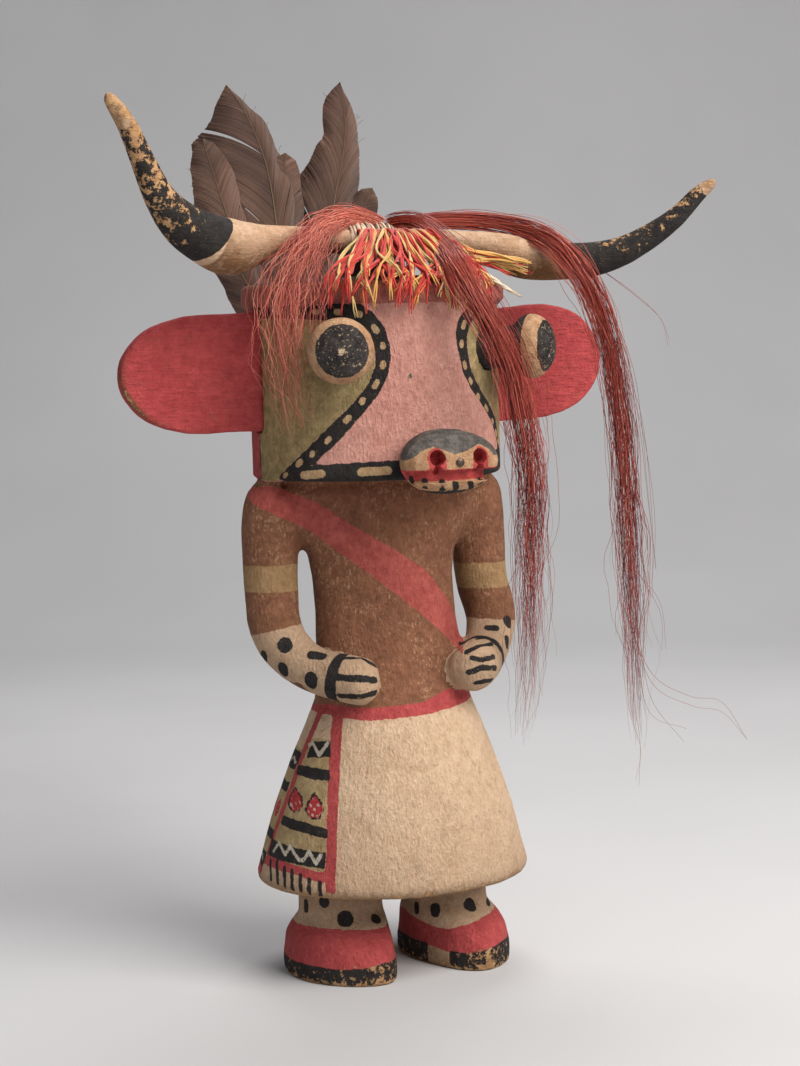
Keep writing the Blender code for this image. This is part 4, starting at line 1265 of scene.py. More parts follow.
def build_nail():
    """The round head of the nail that holds the snout on, dull and a little rusty."""
    seat = SNOUT_LENGTH + 0.3 * MM
    profile = [
        (0.0, -8.0 * MM), (0.7 * MM, -6.5 * MM), (0.7 * MM, seat - 0.1 * MM), (1.42 * MM, seat),
        (1.5 * MM, seat + 0.12 * MM),
    ]
    profile += [
        (1.5 * MM * math.cos(a), seat + (0.15 + 0.5 * math.sin(a)) * MM)
        for a in np.linspace(0.15, 1.45, 10)
    ]
    profile.append((0.0, seat + 0.66 * MM))
    local, faces = lathe(profile, 40)
    base = AXIS + np.array([0.0, -HEAD_RADIUS, SNOUT_Z])
    look = Look("nail_steel", roughness=0.5, metallic=1.0, specular=0.5)
    rust = look.step(look.noise(1600, 4, 0.7), 0.45, 0.62)
    colour = look.mix(rust, linear(98, 86, 76), linear(72, 52, 40))
    look.finish(colour, look.bump(look.noise(3000, 3), 0.1 * MM, 0.6), look.step(rust, 0, 1, out=(0.42, 0.8)))
    obj = new_object("nail_head", mesh_of("nail_head", placed(local, base, (0, -1, 0)), faces), look.material)
    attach(obj, "root")
    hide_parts("snout_nail")


def eased(points, steps):
    """A smooth curve through every point, with that many stretches between two."""
    points = np.asarray(points, float)
    padded = np.vstack([2 * points[0] - points[1], points, 2 * points[-1] - points[-2]])
    out = []
    for k in range(1, len(padded) - 2):
        p0, p1, p2, p3 = padded[k - 1 : k + 3]
        for t in np.arange(steps) / steps:
            out.append(
                0.5
                * (
                    2 * p1 + (p2 - p0) * t
                    + (2 * p0 - 5 * p1 + 4 * p2 - p3) * t**2 + (3 * p1 - p0 - 3 * p2 + p3) * t**3
                )
            )
    out.append(padded[-2])
    return np.array(out)


def tubes(paths, radii, sides):
    """Points and faces of a closed tube for each path. paths is (tubes, points, 3), radii (tubes, points)."""
    count, length = paths.shape[:2]
    run = np.gradient(paths, axis=1)
    run /= np.maximum(np.linalg.norm(run, axis=2, keepdims=True), 1e-12)
    guide = np.where(np.abs(run[..., 2:3]) > 0.92, [1.0, 0.0, 0.0], [0.0, 0.0, 1.0])
    first = np.cross(run, guide)
    for k in range(1, length):
        flip = (first[:, k] * first[:, k - 1]).sum(1) < 0
        first[flip, k] *= -1
    first /= np.maximum(np.linalg.norm(first, axis=2, keepdims=True), 1e-12)
    second = np.cross(run, first)
    angles = 2 * np.pi * np.arange(sides) / sides
    ring = first[:, :, None] * np.cos(angles)[:, None] + second[:, :, None] * np.sin(angles)[:, None]
    points = (paths[:, :, None] + ring * radii[:, :, None, None]).reshape(-1, 3)
    base = (np.arange(count)[:, None, None] * length + np.arange(length - 1)[None, :, None]) * sides
    k = np.arange(sides)[None, None, :]
    n = (k + 1) % sides
    faces = np.stack([base + k, base + n, base + sides + n, base + sides + k], -1).reshape(-1, 4)
    handed = np.einsum("ij,ij->i", np.cross(first[:, 0], second[:, 0]), run[:, 0]) < 0
    if handed.any():
        faces = faces.reshape(count, -1, 4)
        faces[handed] = faces[handed][..., ::-1]
        faces = faces.reshape(-1, 4)
    caps = []
    for tube in range(count):
        start = tube * length * sides
        end = start + (length - 1) * sides
        caps.append(tuple(range(start + sides - 1, start - 1, -1)))
        caps.append(tuple(range(end, end + sides)))
    return points, faces, caps


def tube_object(name, paths, radii, sides, look, values=None):
    points, faces, caps = tubes(np.asarray(paths, float), np.asarray(radii, float), sides)
    mesh = mesh_of(name, points, list(map(tuple, faces.tolist())) + caps)
    for key, number in (values or {}).items():
        spread = np.asarray(number, float)
        if spread.ndim == 1:
            spread = np.repeat(spread[:, None], np.asarray(paths).shape[1], axis=1)
        add_values(mesh, key, np.repeat(spread.reshape(-1), sides))
    obj = new_object(name, mesh, look)
    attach(obj, "root")
    return obj


# The horns, right tip to left: thousandths of the reach out and up, and hundredths of the bar's radius
HORN_RIGHT = [
    (988, 396, 10), (975, 382, 42), (923, 318, 67), (871, 217, 83), (811, 111, 106), (733, 36, 150),
    (650, -4, 177), (568, -25, 192), (488, -18, 154), (412, -5, 110), (324, 3, 94), (173, 3, 96),
]
HORN_LEFT = [
    (173, -8, 100), (295, -25, 113), (377, -42, 131), (455, -67, 150), (559, -77, 133), (655, -72, 121),
    (760, -36, 100), (877, 44, 75), (949, 119, 58), (989, 154, 37), (1000, 165, 10),
]


def horn_line():
    """The bar's line and radius from the right horn's tip to the left's, as in part.py."""
    share = HORN_REACH / 1000
    rows = []
    for side, points in ((-1, HORN_RIGHT), (0, [(0, 0, 100)]), (1, HORN_LEFT)):
        for x, z, radius in points:
            rows.append(
                [
                    *(AXIS + [side * x * share, -HORN_SWEEP * x * share, BAR_Z + z * share]),
                    radius * BAR_RADIUS / 100,
                ]
            )
    return np.array(rows)


def photo_point(point):
    """Where a point of the frame falls on the photograph."""
    away = np.asarray(point) - PLACE
    depth = away @ FORWARD
    x = CAMERA_DISTANCE * (away @ RIGHT) / depth + PHOTO_SIZE[0] / 2 + SHIFT[0]
    y = -CAMERA_DISTANCE * (away @ UP) / depth + PHOTO_SIZE[1] / 2 + SHIFT[1]
    return np.stack([x, y], -1)


# Where the black paint of the right and the left horn ends in the photograph
HORN_PAINT_ENDS = ((209, 241), (568, 254))
HORN_SIDES = 44


def build_horns():
    """One bar with both horns: cream paint browned underneath, partly as painted shade, and worn black from
    near each tip inwards.
    """
    rows = eased(horn_line(), 14)
    rows[:, 3] = np.maximum(rows[:, 3], 0.25 * MM)
    path, radii = rows[:, :3], rows[:, 3]
    sides = HORN_SIDES
    points, faces, caps = tubes(path[None], radii[None], sides)
    mesh = mesh_of("horns_painted", points, list(map(tuple, faces.tolist())) + caps)
    swell = wobble(points, 60.0, 11) * 0.35 * MM + wobble(points, 220.0, 12) * 0.09 * MM - 0.2 * MM
    thick = np.repeat(np.clip(radii / (4 * MM), 0.1, 1.0), sides)
    set_coords(mesh, points + normals(mesh) * (swell * thick)[:, None])
    seen = photo_point(path)
    run = np.concatenate([[0], np.cumsum(np.linalg.norm(np.diff(path, axis=0), axis=1))]) / MM
    right, left = (run[np.argmin(np.linalg.norm(seen - end, axis=1))] for end in HORN_PAINT_ENDS)
    along = np.repeat(run, sides)
    paint = Paint(len(points), ["black"])
    up = (points[:, 2] - np.repeat(path[:, 2], sides)) / MM
    paint.add("black", np.minimum(right - along + up * 0.45, (along - 13.0) * 0.25))
    paint.add("black", np.minimum(along - left + up * 0.2, (run[-1] - 6.0 - along) * 0.5))
    paint.store(mesh)
    on_right = along < run[-1] / 2
    round_top = up / np.maximum(np.repeat(radii, sides) / MM, 0.5)
    rub_right = np.interp(right - along, [0, 7, 14, 30, 60], [0.1, 0.35, 0.85, 1.05, 1.2])
    rub_left = np.interp(along - left, [0, 8, 20, 50], [0.15, 0.45, 0.65, 0.8])
    rub_left = rub_left + 0.45 * np.clip(round_top, -1, 1)
    rub = np.where(on_right, rub_right, rub_left)
    black = np.where(on_right, along < right, along > left)
    add_values(mesh, "rub", np.where(black, np.clip(rub, 0, 1.25), 0.25))
    # The cream browns from the top down to the underside, more on the left horn: partly worn wood, partly
    # painted shade
    brown = np.clip(0.42 - round_top * 0.75, 0.04, 0.85)
    tip = np.maximum(np.clip((17 - along) / 8, 0, 1), np.clip((along - run[-1] + 8) / 5, 0, 1))
    add_values(mesh, "stain_and_shade", np.where(black, 0.42 * tip, brown * np.where(on_right, 0.9, 1.15)))
    look = painted_look(
        "cream_paint_horns", "horn_cream", {"black": "black"}, grain=(0.16, 0.4, 1.0), chip_scale=300
    )
    obj = new_object("horns_painted", mesh, look)
    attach(obj, "root")
    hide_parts("horns")


# Tie, feathers, hair and yarn


def thread_look(name, colours, roughness=0.6, bump=0.0, sheen=0.0, specular=0.35):
    """A look whose colour runs through a list by each strand's own tone."""
    look = Look(name, roughness=roughness, specular=specular)
    colour = look.ramp(look.value("tone"), [(k / (len(colours) - 1), c) for k, c in enumerate(colours)])
    fine = look.step(look.noise(2500, 2), 0.3, 0.7, out=(0.82, 1.1), smooth=False)
    if sheen:
        look.sheen(sheen, 0.5)
    normal = look.bump(look.noise(2200, 2), 0.15 * MM, bump) if bump else None
    return look.finish(look.scaled(colour, fine), normal)


# Each winding of the wrap in mm: its two ends along the bar, its turns, its lift and its thickness
WINDINGS = (
    (-13.0, 13.0, 12.5, 0.55, 0.95),
    (12.5, -12.5, 7.0, 1.1, 0.8),
    (-9.0, 10.0, 4.6, 1.5, 0.7),
    (11.0, -4.0, 2.5, 1.8, 0.7),
)
WINDING_STEPS = 420


def bar_at(x):
    """The bar's middle and its radius at places along it, given in metres from the head's axis."""
    line = eased(horn_line(), 14)
    return np.stack([np.interp(x, line[:, 0] - AXIS[0], line[:, k]) for k in range(4)], -1)


def build_wrap():
    """Cotton string wound round the middle of the bar, with a few turns crossing."""
    rng = np.random.default_rng(11)
    paths, radii, tones = [], [], []
    t = np.linspace(0, 1, WINDING_STEPS)
    for index, (start, end, turns, lift, thick) in enumerate(WINDINGS):
        bar = bar_at((start + (end - start) * t) * MM)
        angle = 2 * math.pi * turns * t + index * 1.3
        wander = 0.12 * np.sin(angle * 0.37 + index) + rng.normal(0, 0.01, WINDING_STEPS).cumsum() * 0.01
        reach = bar[:, 3] + (0.3 + lift + wander) * MM
        paths.append(bar[:, :3] + np.stack([0 * t, np.sin(angle), np.cos(angle)], 1) * reach[:, None])
        radii.append(np.full(WINDING_STEPS, thick * 0.62 * MM))
        grime = 0.3 * np.sin(angle * 0.8 + index) + rng.normal(0, 0.05, WINDING_STEPS)
        tones.append(np.clip(0.55 + grime, 0, 1))
    look = thread_look(
        "white_cotton", [(150, 124, 100), (214, 192, 166), (236, 220, 200)], roughness=0.9, bump=0.6,
        sheen=0.2,
    )
    obj = tube_object("tie_string", paths, radii, 7, look, {"tone": tones})
    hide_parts("tie_wrap")


# The loose end: photograph points with mm inside the brim's edge, and its three plies
CORD_END = ((462, 262, 6), (474, 270, 3), (490, 277, 0), (506, 288, -2), (522, 297, -4))
CORD_AZIMUTH = 45
PLY_TURNS = (0.0, 2.1, 4.2)
PLY_TONES = (0.5, 0.7, 0.6)


def build_cord_end():
    """The flat white end of the tie, lying out over the yarn."""
    plane = around(CORD_AZIMUTH, BRIM_RADIUS, 0)
    normal = around(CORD_AZIMUTH, 1.0, 0) - AXIS
    path = eased([on_plane(x, y, plane - normal * inset * MM, normal) for x, y, inset in CORD_END], 10)
    t = np.linspace(0, 1, len(path))
    thick = np.interp(t, [0, 0.3, 0.8, 0.97, 1], [0.9, 1.0, 0.75, 0.45, 0.15]) * MM
    plies = []
    for turn in PLY_TURNS:
        swirl = np.stack([np.cos(turn + t * 14), np.sin(turn + t * 14), np.sin(turn + 1 + t * 14)], 1)
        plies.append(path + swirl * thick[:, None] * 0.35)
    look = thread_look(
        "white_cotton_end", [(168, 140, 112), (226, 206, 180), (238, 226, 206)], roughness=0.85, bump=0.5
    )
    obj = tube_object("tie_end", plies, [thick * 0.6] * len(plies), 7, look, {"tone": PLY_TONES})
    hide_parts("tie_cord_end")


# Each feather: its root, its tip (both as thousandths of the feathers' reach), its width and its bow
FEATHERS = {
    "feather_low": (-79, (-283, 645), 112, 0),
    "feather_outer": (-86, (-286, 849), 125, 20),
    "feather_broad": (-79, (-224, 984), 164, -20),
    "feather_inner": (-72, (-59, 816), 118, 13),
    "feather_tall": (-66, (105, 1000), 132, -7),
    "feather_short": (-59, (188, 730), 92, 0),
}
# Outlines seen in the photograph, from the tip down: quill, left edge, right edge
SEEN_FEATHERS = {
    "feather_broad": (
        [(226, 85), (240, 104), (255, 134), (266, 165), (273, 200), (276, 224)],
        [
            (226, 85), (219, 101), (214, 118), (203, 134), (196, 144), (204, 160), (210, 181), (224, 204),
            (236, 222),
        ],
        [
            (226, 85), (236, 93), (251, 106), (264, 118), (272, 131), (279, 147), (291, 161), (300, 174),
            (302, 200), (300, 224),
        ],
    ),
    "feather_tall": (
        [(340, 82), (343, 104), (345, 130), (342, 160), (336, 190), (330, 221)],
        [
            (340, 82), (332, 90), (327, 98), (325, 112), (327, 132), (320, 143), (314, 158), (305, 174),
            (302, 190), (306, 221),
        ],
        [
            (340, 82), (347, 97), (355, 111), (359, 124), (361, 140), (362, 158), (363, 176), (362, 196),
            (356, 221),
        ],
    ),
}
# Where each vane has split open, as shares of the quill's length
FEATHER_SPLITS = {
    "feather_broad": (0.44, 0.74),
    "feather_tall": (0.34,),
    "feather_outer": (0.58,),
    "feather_short": (0.62,),
}
OTHER_SPLITS = (0.74,)
# How far each side's edge curls towards the front, and how wide a split opens there
CURL = {-1: 1.0, 1: 0.7}
SPLIT_OPENING = {-1: 0.006, 1: 0.003}
SPLIT_LENGTH = 0.04
VANE_ENDS = (0.09, 0.997)
VANE_ROWS = 150
VANE_COLUMNS = 13
QUILL_STEPS = 160
QUILL_STRIDE = 4
LOOSE_BARBS = 7


def resampled(line, shares):
    line = np.asarray(line, float)
    run = np.concatenate([[0], np.cumsum(np.linalg.norm(np.diff(line, axis=0), axis=1))])
    return np.stack([np.interp(shares * run[-1], run, line[:, k]) for k in range(line.shape[1])], 1)


class Feather:
    """One feather's quill and its vane's two edges, from the root to the tip on its own leaning plane."""

    def __init__(self, index, name):
        root_x, tip, width, bow = FEATHERS[name]
        share = FEATHER_REACH / 1000
        depth = HEAD_RADIUS + (2.0 + index * 1.6) * MM
        lean = math.radians(FEATHER_LEAN)
        self.index, self.name = index, name
        self.rng = np.random.default_rng(100 + index)
        self.root = AXIS + np.array([root_x * share, depth, HEAD_BOTTOM + FEATHER_ROOT + index * 0.4 * MM])
        self.out = np.array([0.0, -math.cos(lean), math.sin(lean)])
        if name in SEEN_FEATHERS:
            self.quill, left, right = (self.seen_line(line) for line in SEEN_FEATHERS[name])
        else:
            up = tip[1] * share - (self.root[2] - HEAD_BOTTOM)
            way = np.array([(tip[0] - root_x) * share, up * math.sin(lean), up * math.cos(lean)])
            left, right = self.plain_lines(way, width * share, bow * share)
        self.edges = {-1: left, 1: right}

    def seen_line(self, line):
        """A line of the photograph, carried on to the hidden root."""
        spots = [on_plane(x, y, self.root, self.out) for x, y in line][::-1]
        return resampled(eased([self.root, *spots], 6), np.linspace(0, 1, QUILL_STEPS))

    def plain_lines(self, way, width, bow):
        """A slightly bowed quill, and a vane of an ordinary feather's shape about it."""
        shares = np.linspace(0, 1, QUILL_STEPS)
        cross = np.cross(way / np.linalg.norm(way), self.out)
        bent = np.interp(shares, [0, 0.5, 1], [0, 1, 0]) ** 0.8 * bow
        self.quill = self.root + way * shares[:, None] - cross * bent[:, None]
        half = np.interp(
            shares, [0, 0.14, 0.3, 0.45, 0.76, 0.90, 0.97, 1.0],
            [0.02, 0.16, 0.34, 0.46, 0.5, 0.42, 0.26, 0.0],
        )
        half = half * width * (1 + 0.05 * np.sin(shares * 17 + self.index))
        edges = [self.quill + cross * half[:, None], self.quill - cross * half[:, None]]
        return sorted(edges, key=lambda edge: edge[QUILL_STEPS // 2][0])

    def quill_at(self, share):
        return self.quill[min(int(share * (QUILL_STEPS - 1)), QUILL_STEPS - 1)]

    def edge_at(self, side, share):
        return self.edges[side][int(min(max(share, 0), 1) * (QUILL_STEPS - 1))]

    def barb(self, side, base, low, high):
        """A row of the vane from the quill to the edge: its points, their tones and their barb values."""
        rng = self.rng
        reach = base + 0.36 * (1 - base) * min(base * 4, 1) + 0.01
        if low > VANE_ENDS[0]:
            reach += SPLIT_OPENING[side] * math.exp(-(base - low) / SPLIT_LENGTH)
        if high < VANE_ENDS[1]:
            reach -= SPLIT_OPENING[side] * math.exp(-(high - base) / SPLIT_LENGTH)
        start = self.quill_at(base)
        frayed = rng.normal(0, 0.006) - (0.03 * rng.random() if rng.random() < 0.08 else 0)
        way = (self.edge_at(side, reach) - start) * (1 + frayed)
        length = np.linalg.norm(way)
        sag = self.quill_at(base + (reach - base) * 0.4) - start
        tone = 0.5 + 0.16 * math.sin(base * 9 + self.index * 2) + rng.normal(0, 0.10) + 0.07 * side
        u = np.linspace(0, 1, VANE_COLUMNS)[:, None]
        curl = length * (0.20 * u**2 - 0.05 * np.sin(math.pi * u)) * CURL[side]
        ripple = np.sin(base * 19 + self.index + 2.2 * u)
        wave = 0.5 * MM * ripple * u + 0.30 * MM * math.sin(base * 47 + side) * u**2
        points = start + way * u + sag * (0.9 * u * (1 - u)) - self.out * (curl + wave)
        return points, tone - 0.16 * (1 - u[:, 0]) ** 6, base * 2.0 + side + 0.012 * u[:, 0]

    def vane(self, look):
        """Both sides of the vane as thin sheets of barbs, parted where it has split open."""
        points, tones, barbs, faces = [], [], [], []
        splits = FEATHER_SPLITS.get(self.name, OTHER_SPLITS)
        for side in (-1, 1):
            cuts = [VANE_ENDS[0], *(splits if side < 0 else splits[:1]), VANE_ENDS[1]]
            for low, high in zip(cuts[:-1], cuts[1:]):
                rows = max(int(VANE_ROWS * (high - low)), 6)
                first = len(points) * VANE_COLUMNS
                for base in low + (high - low) * np.arange(rows) / (rows - 1):
                    for made, more in zip((points, tones, barbs), self.barb(side, base, low, high)):
                        made.append(more)
                corner = first + np.arange(rows - 1)[:, None] * VANE_COLUMNS + np.arange(VANE_COLUMNS - 1)
                faces.append(corner.reshape(-1, 1) + [0, 1, VANE_COLUMNS + 1, VANE_COLUMNS])
        mesh = mesh_of(self.name + "_vane", np.concatenate(points), np.concatenate(faces))
        add_values(mesh, "tone", np.clip(np.concatenate(tones), 0, 1))
        add_values(mesh, "barb", np.concatenate(barbs))
        vane = new_object(self.name + "_vane", mesh, look)
        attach(vane, "root")
        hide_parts(self.name)

    def loose_barb(self, side, steps):
        """A fine barb that has come loose from the vane's edge."""
        rng = self.rng
        base = rng.uniform(0.25, 0.95)
        edge, quill = self.edge_at(side, base), self.quill_at(base)
        away = (edge - quill) / max(np.linalg.norm(edge - quill), 1e-9)
        up = self.quill[-1] - self.quill_at(0.63)
        up /= np.linalg.norm(up)
        long = rng.uniform(1.0, 3.4) * MM
        t = np.linspace(0, 1, steps)[:, None]
        rise, swerve = rng.uniform(0.3, 0.9), rng.normal(0, 0.8) * MM
        start = edge + (quill - edge) * 0.12
        return start + (away * t * 0.75 + up * t**0.7 * rise) * long + self.out * swerve * t**2

    def quill_and_barbs(self, look):
        shares = np.linspace(0, 1, QUILL_STEPS)[::QUILL_STRIDE]
        thick = np.interp(shares, [0, 0.15, 0.6, 1], [0.9, 0.7, 0.28, 0.10]) * MM
        lines = [self.quill[::QUILL_STRIDE] + self.out * 0.12 * MM]
        lines += [self.loose_barb(side, len(thick)) for side in (-1, 1) for _ in range(LOOSE_BARBS)]
        fine = [np.full(len(thick), 0.07 * MM)] * (len(lines) - 1)
        tones = [0.35] + [0.15] * (len(lines) - 1)
        made = tube_object(self.name + "_quill", lines, [thick, *fine], 6, look, {"tone": tones})


def vane_look():
    """Brown vane with fine barbs, which run as one-dimensional noise along the barb attribute."""
    look = Look("feather_vane", roughness=0.6, specular=0.32)
    hair = look.node("ShaderNodeTexNoise", noise_dimensions="1D")
    look.join(look.math("MULTIPLY", look.value("barb"), 160.0), hair.inputs["W"])
    hair.inputs["Scale"].default_value = 1.0
    hair.inputs["Detail"].default_value = 2.0
    line = look.step(hair.outputs["Fac"], 0.3, 0.7, smooth=False)
    tone = look.math("ADD", look.value("tone"), look.math("MULTIPLY", look.math("SUBTRACT", line, 0.5), 0.5))
    browns = look.ramp(
        tone, [(0.0, (54, 37, 30)), (0.35, (80, 56, 45)), (0.7, (102, 74, 60)), (1.0, (134, 102, 85))]
    )
    broad = look.step(look.noise(60, 3), 0.35, 0.65, out=(0.80, 1.12))
    look.sheen(0.2, 0.4)
    return look.finish(look.scaled(browns, broad), look.bump(line, 0.20 * MM, 0.8))


def build_feathers():
    vane, quill = vane_look(), thread_look("feather_quill", [(72, 50, 40), (150, 122, 96)], roughness=0.5)
    for index, name in enumerate(FEATHERS):
        feather = Feather(index, name)
        feather.vane(vane)
        feather.quill_and_barbs(quill)


# Each lock's route in part.py: degrees round, share of the brim's radius, thousandths of the drop
HAIR_ROUTES = {
    "hair_lock_right": [
        (-110, 0.083, 50), (-56, 0.393, 42), (-50, 0.787, 7), (-48, 1.128, -44), (-49, 1.253, -97),
        (-50, 1.284, -167), (-51, 1.242, -254), (-51, 1.170, -340),
    ],
    "hair_lock_middle": [
        (70, 0.166, 51), (44, 0.414, 55), (28, 0.745, 43), (20, 1.077, -3), (15, 1.304, -80),
        (16, 1.418, -172), (21, 1.441, -262), (28, 1.387, -353), (38, 1.311, -446), (45, 1.253, -565),
        (46, 1.215, -709), (46, 1.190, -821), (44, 1.149, -954),
    ],
    "hair_lock_left": [
        (104, 0.290, 48), (80, 0.803, 35), (70, 1.077, 30), (61, 1.335, 15), (54, 1.542, -34),
        (54, 1.687, -103), (58, 1.781, -177), (61, 1.832, -269), (65, 1.894, -460), (68, 1.936, -693),
        (69, 1.946, -847), (69, 1.988, -1000),
    ],
}
# Each lock's middle line in the photograph, with its half width there in pixels
HAIR_SEEN = {
    "hair_lock_right": [
        (384, 226, 6), (368, 219, 7), (346, 216, 9), (322, 227, 13), (306, 250, 19), (295, 275, 26),
        (289, 300, 30), (288, 335, 29), (290, 385, 22), (298, 440, 12),
    ],
    "hair_lock_middle": [
        (386, 224, 7), (410, 219, 8), (436, 238, 12), (456, 263, 15), (477, 300, 15), (500, 340, 15),
        (515, 380, 16), (525, 430, 17), (532, 480, 16), (532, 540, 16), (531, 620, 15), (529, 680, 13),
        (521, 750, 9),
    ],
    "hair_lock_left": [
        (398, 224, 6), (450, 220, 8), (500, 224, 9), (541, 235, 11), (570, 260, 12), (590, 290, 13),
        (605, 330, 13), (615, 380, 13), (622, 430, 13), (626, 480, 13), (629, 540, 14), (632, 600, 13),
        (634, 680, 9), (638, 752, 5),
    ],
}
# How many strands each lock has, how short the shortest are, and how many stray
HAIR_COUNTS = {
    "hair_lock_right": (200, 0.46, 0.26),
    "hair_lock_middle": (220, 0.30, 0.22),
    "hair_lock_left": (220, 0.36, 0.20),
}
LOCK_POINTS = 90
STRAND_POINTS = 40
HAIR_COLOURS = [(70, 26, 22), (132, 46, 38), (188, 80, 66), (222, 124, 104)]
FADED_HAIR_COLOURS = [(112, 50, 42), (176, 78, 68), (212, 116, 98), (232, 160, 136)]
# Single hairs that stand away from the left lock, as seen
LOOSE_HAIRS = [
    [(590, 262), (630, 290), (660, 318), (668, 345)],
    [(600, 300), (628, 360), (640, 430), (648, 500), (656, 570)],
    [(610, 340), (640, 420), (655, 520), (650, 600)],
    [(628, 560), (640, 640), (652, 700), (684, 742)],
    [(630, 600), (633, 690), (640, 740), (639, 786)],
    [(620, 480), (634, 560), (660, 612), (662, 650)],
    [(626, 600), (650, 680), (690, 705), (722, 712), (746, 738)],
]


def strand_wave(rng, t, strength):
    """A strand's own wandering, in mm: long bends and finer frizz that grow along it."""
    wave = np.zeros(len(t))
    for cycles, size in (
        (rng.uniform(1.0, 2.2), 1.0), (rng.uniform(3.0, 6.0), 0.5), (rng.uniform(8.0, 14.0), 0.26)
    ):
        wave += size * np.sin(2 * np.pi * cycles * t + rng.uniform(0, 2 * np.pi))
    return wave * strength * np.clip(0.15 + t * 1.1, 0, 1)


def lock_strands(rng, route, seen, count, shortest, stray_share):
    """Strands of one lock, along its line in the photograph, at the depth of the CAD lock's own route."""
    cad = eased(route, 12)
    cad_seen = photo_point(cad)
    spots = [
        on_plane(x, y, cad[np.argmin(np.linalg.norm(cad_seen - (x, y), axis=1))], FORWARD)
        for x, y, _ in seen
    ]
    line = eased(np.column_stack([spots, np.array(seen)[:, 2] * PIXEL]), 10)
    shares = np.linspace(0, 1, LOCK_POINTS)
    line = resampled(line, shares)
    for _ in range(6):
        line[1:-1] = (line[:-2] + 2 * line[1:-1] + line[2:]) / 4
    middle, wide = line[:, :3], line[:, 3]
    run = np.gradient(middle, axis=0)
    across = np.cross(run, FORWARD)
    across /= np.linalg.norm(across, axis=1, keepdims=True)
    steps = np.linspace(0, 1, STRAND_POINTS)
    paths, tones, radii = [], [], []
    for _ in range(count):
        stray = rng.random() < stray_share
        end = rng.uniform(shortest, 1.0) if rng.random() < 0.7 else rng.uniform(0.8, 1.0)
        local = rng.uniform(0, 0.02) + end * 0.98 * steps
        lane = np.clip(rng.normal(0, 0.48), -1.15, 1.15) * (1.3 if stray else 1.0)
        nearness = rng.uniform(-0.8, 1.0)
        centre = np.stack([np.interp(local, shares, middle[:, k]) for k in range(3)], 1)
        side = np.stack([np.interp(local, shares, across[:, k]) for k in range(3)], 1)
        room = np.interp(local, shares, wide)
        drift = strand_wave(rng, local, 2.6 if stray else 1.15) * MM
        u = room * lane + drift * np.clip(room / (3 * MM), 0.2, 1.3)
        v = room * 0.42 * nearness + strand_wave(rng, local, 0.5) * MM * 0.6
        paths.append(centre + side * u[:, None] - FORWARD * (v + 0.6 * MM)[:, None])
        radii.append(np.interp(steps, [0, 0.1, 0.75, 1], [0.9, 1, 0.8, 0.22]) * rng.uniform(0.085, 0.14) * MM)
        # Painted shade: strands further back in the lock are darker and nearer ones lighter; every strand
        # also darkens towards its end
        tones.append(np.clip(rng.normal(0.52, 0.24) + 0.14 * nearness - 0.12 * local, 0.02, 0.98))
    return paths, radii, tones


def loose_strands(rng, plane):
    """The single hairs that stand out beside the left lock."""
    paths, radii, tones = [], [], []
    for pairs in LOOSE_HAIRS:
        for stray in (0, 1):
            shifted = [(x + stray * rng.normal(0, 3), y + stray * rng.normal(0, 6)) for x, y in pairs]
            route = [on_plane(x, y, plane, FORWARD) for x, y in shifted]
            paths.append(resampled(eased(route, 12), np.linspace(0, 1, STRAND_POINTS)))
            radii.append(np.linspace(0.10, 0.05, STRAND_POINTS) * MM)
            tones.append(np.full(STRAND_POINTS, rng.uniform(0.2, 0.6)))
    return paths, radii, tones


def build_hair():
    """Dyed horsehair in three locks, tied under the string at the middle of the bar."""
    lock = thread_look("red_hair", HAIR_COLOURS, roughness=0.42, specular=0.5)
    tuft = thread_look("red_hair_faded", FADED_HAIR_COLOURS, roughness=0.5, specular=0.45)
    for order, (name, route) in enumerate(HAIR_ROUTES.items()):
        rng = np.random.default_rng(40 + order)
        route = [around(a, r * BRIM_RADIUS, BAR_Z + z * HAIR_DROP / 1000) for a, r, z in route]
        paths, radii, tones = lock_strands(rng, route, HAIR_SEEN[name], *HAIR_COUNTS[name])
        if name == "hair_lock_left":
            for made, more in zip((paths, radii, tones), loose_strands(rng, route[8])):
                made.extend(more)
        look = tuft if name == "hair_lock_right" else lock
        obj = tube_object(name + "_strands", paths, radii, 3, look, {"tone": np.array(tones)})
        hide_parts(name)


YARN_STRANDS = 82
BUNCH_STRANDS = 34
YARN_POINTS = 26
YARN_COLOURS = [(192, 46, 40), (212, 74, 52), (218, 122, 62), (212, 162, 82), (206, 180, 116)]


def hanging_strand(rng, share):
    """A strand from under the bar that falls over the brim, at its share of the fringe from the right."""
    azimuth = -37 + 64 * share
    x = np.interp(share, [0, 1], [-9, 12]) * MM + rng.normal(0, 1.5) * MM
    start = bar_at(x)[:3] + [0, -5.6 * MM, rng.uniform(-2.5, 3.0) * MM]
    hang = rng.uniform(238.5, 251.5) * MM if rng.random() < 0.8 else rng.uniform(247, 254) * MM
    lift = rng.uniform(0.0, 4.0)
    far = azimuth + rng.normal(0, 6)
    return [
        start + [0, 3.0 * MM, 0],
        start + [0, -2.2 * MM, 0.5 * MM],
        around(azimuth * 0.8, 30 * MM, BAR_Z + (0.5 + lift * 0.6) * MM),
        around(azimuth * 0.95 + rng.normal(0, 3), 43 * MM, BRIM_TOP + (6.0 + lift) * MM),
        around((azimuth + far) / 2, 51.5 * MM, BRIM_TOP + (0.5 + lift * 0.7) * MM),
        around(far, rng.uniform(51.5, 55.0) * MM, hang),
    ]


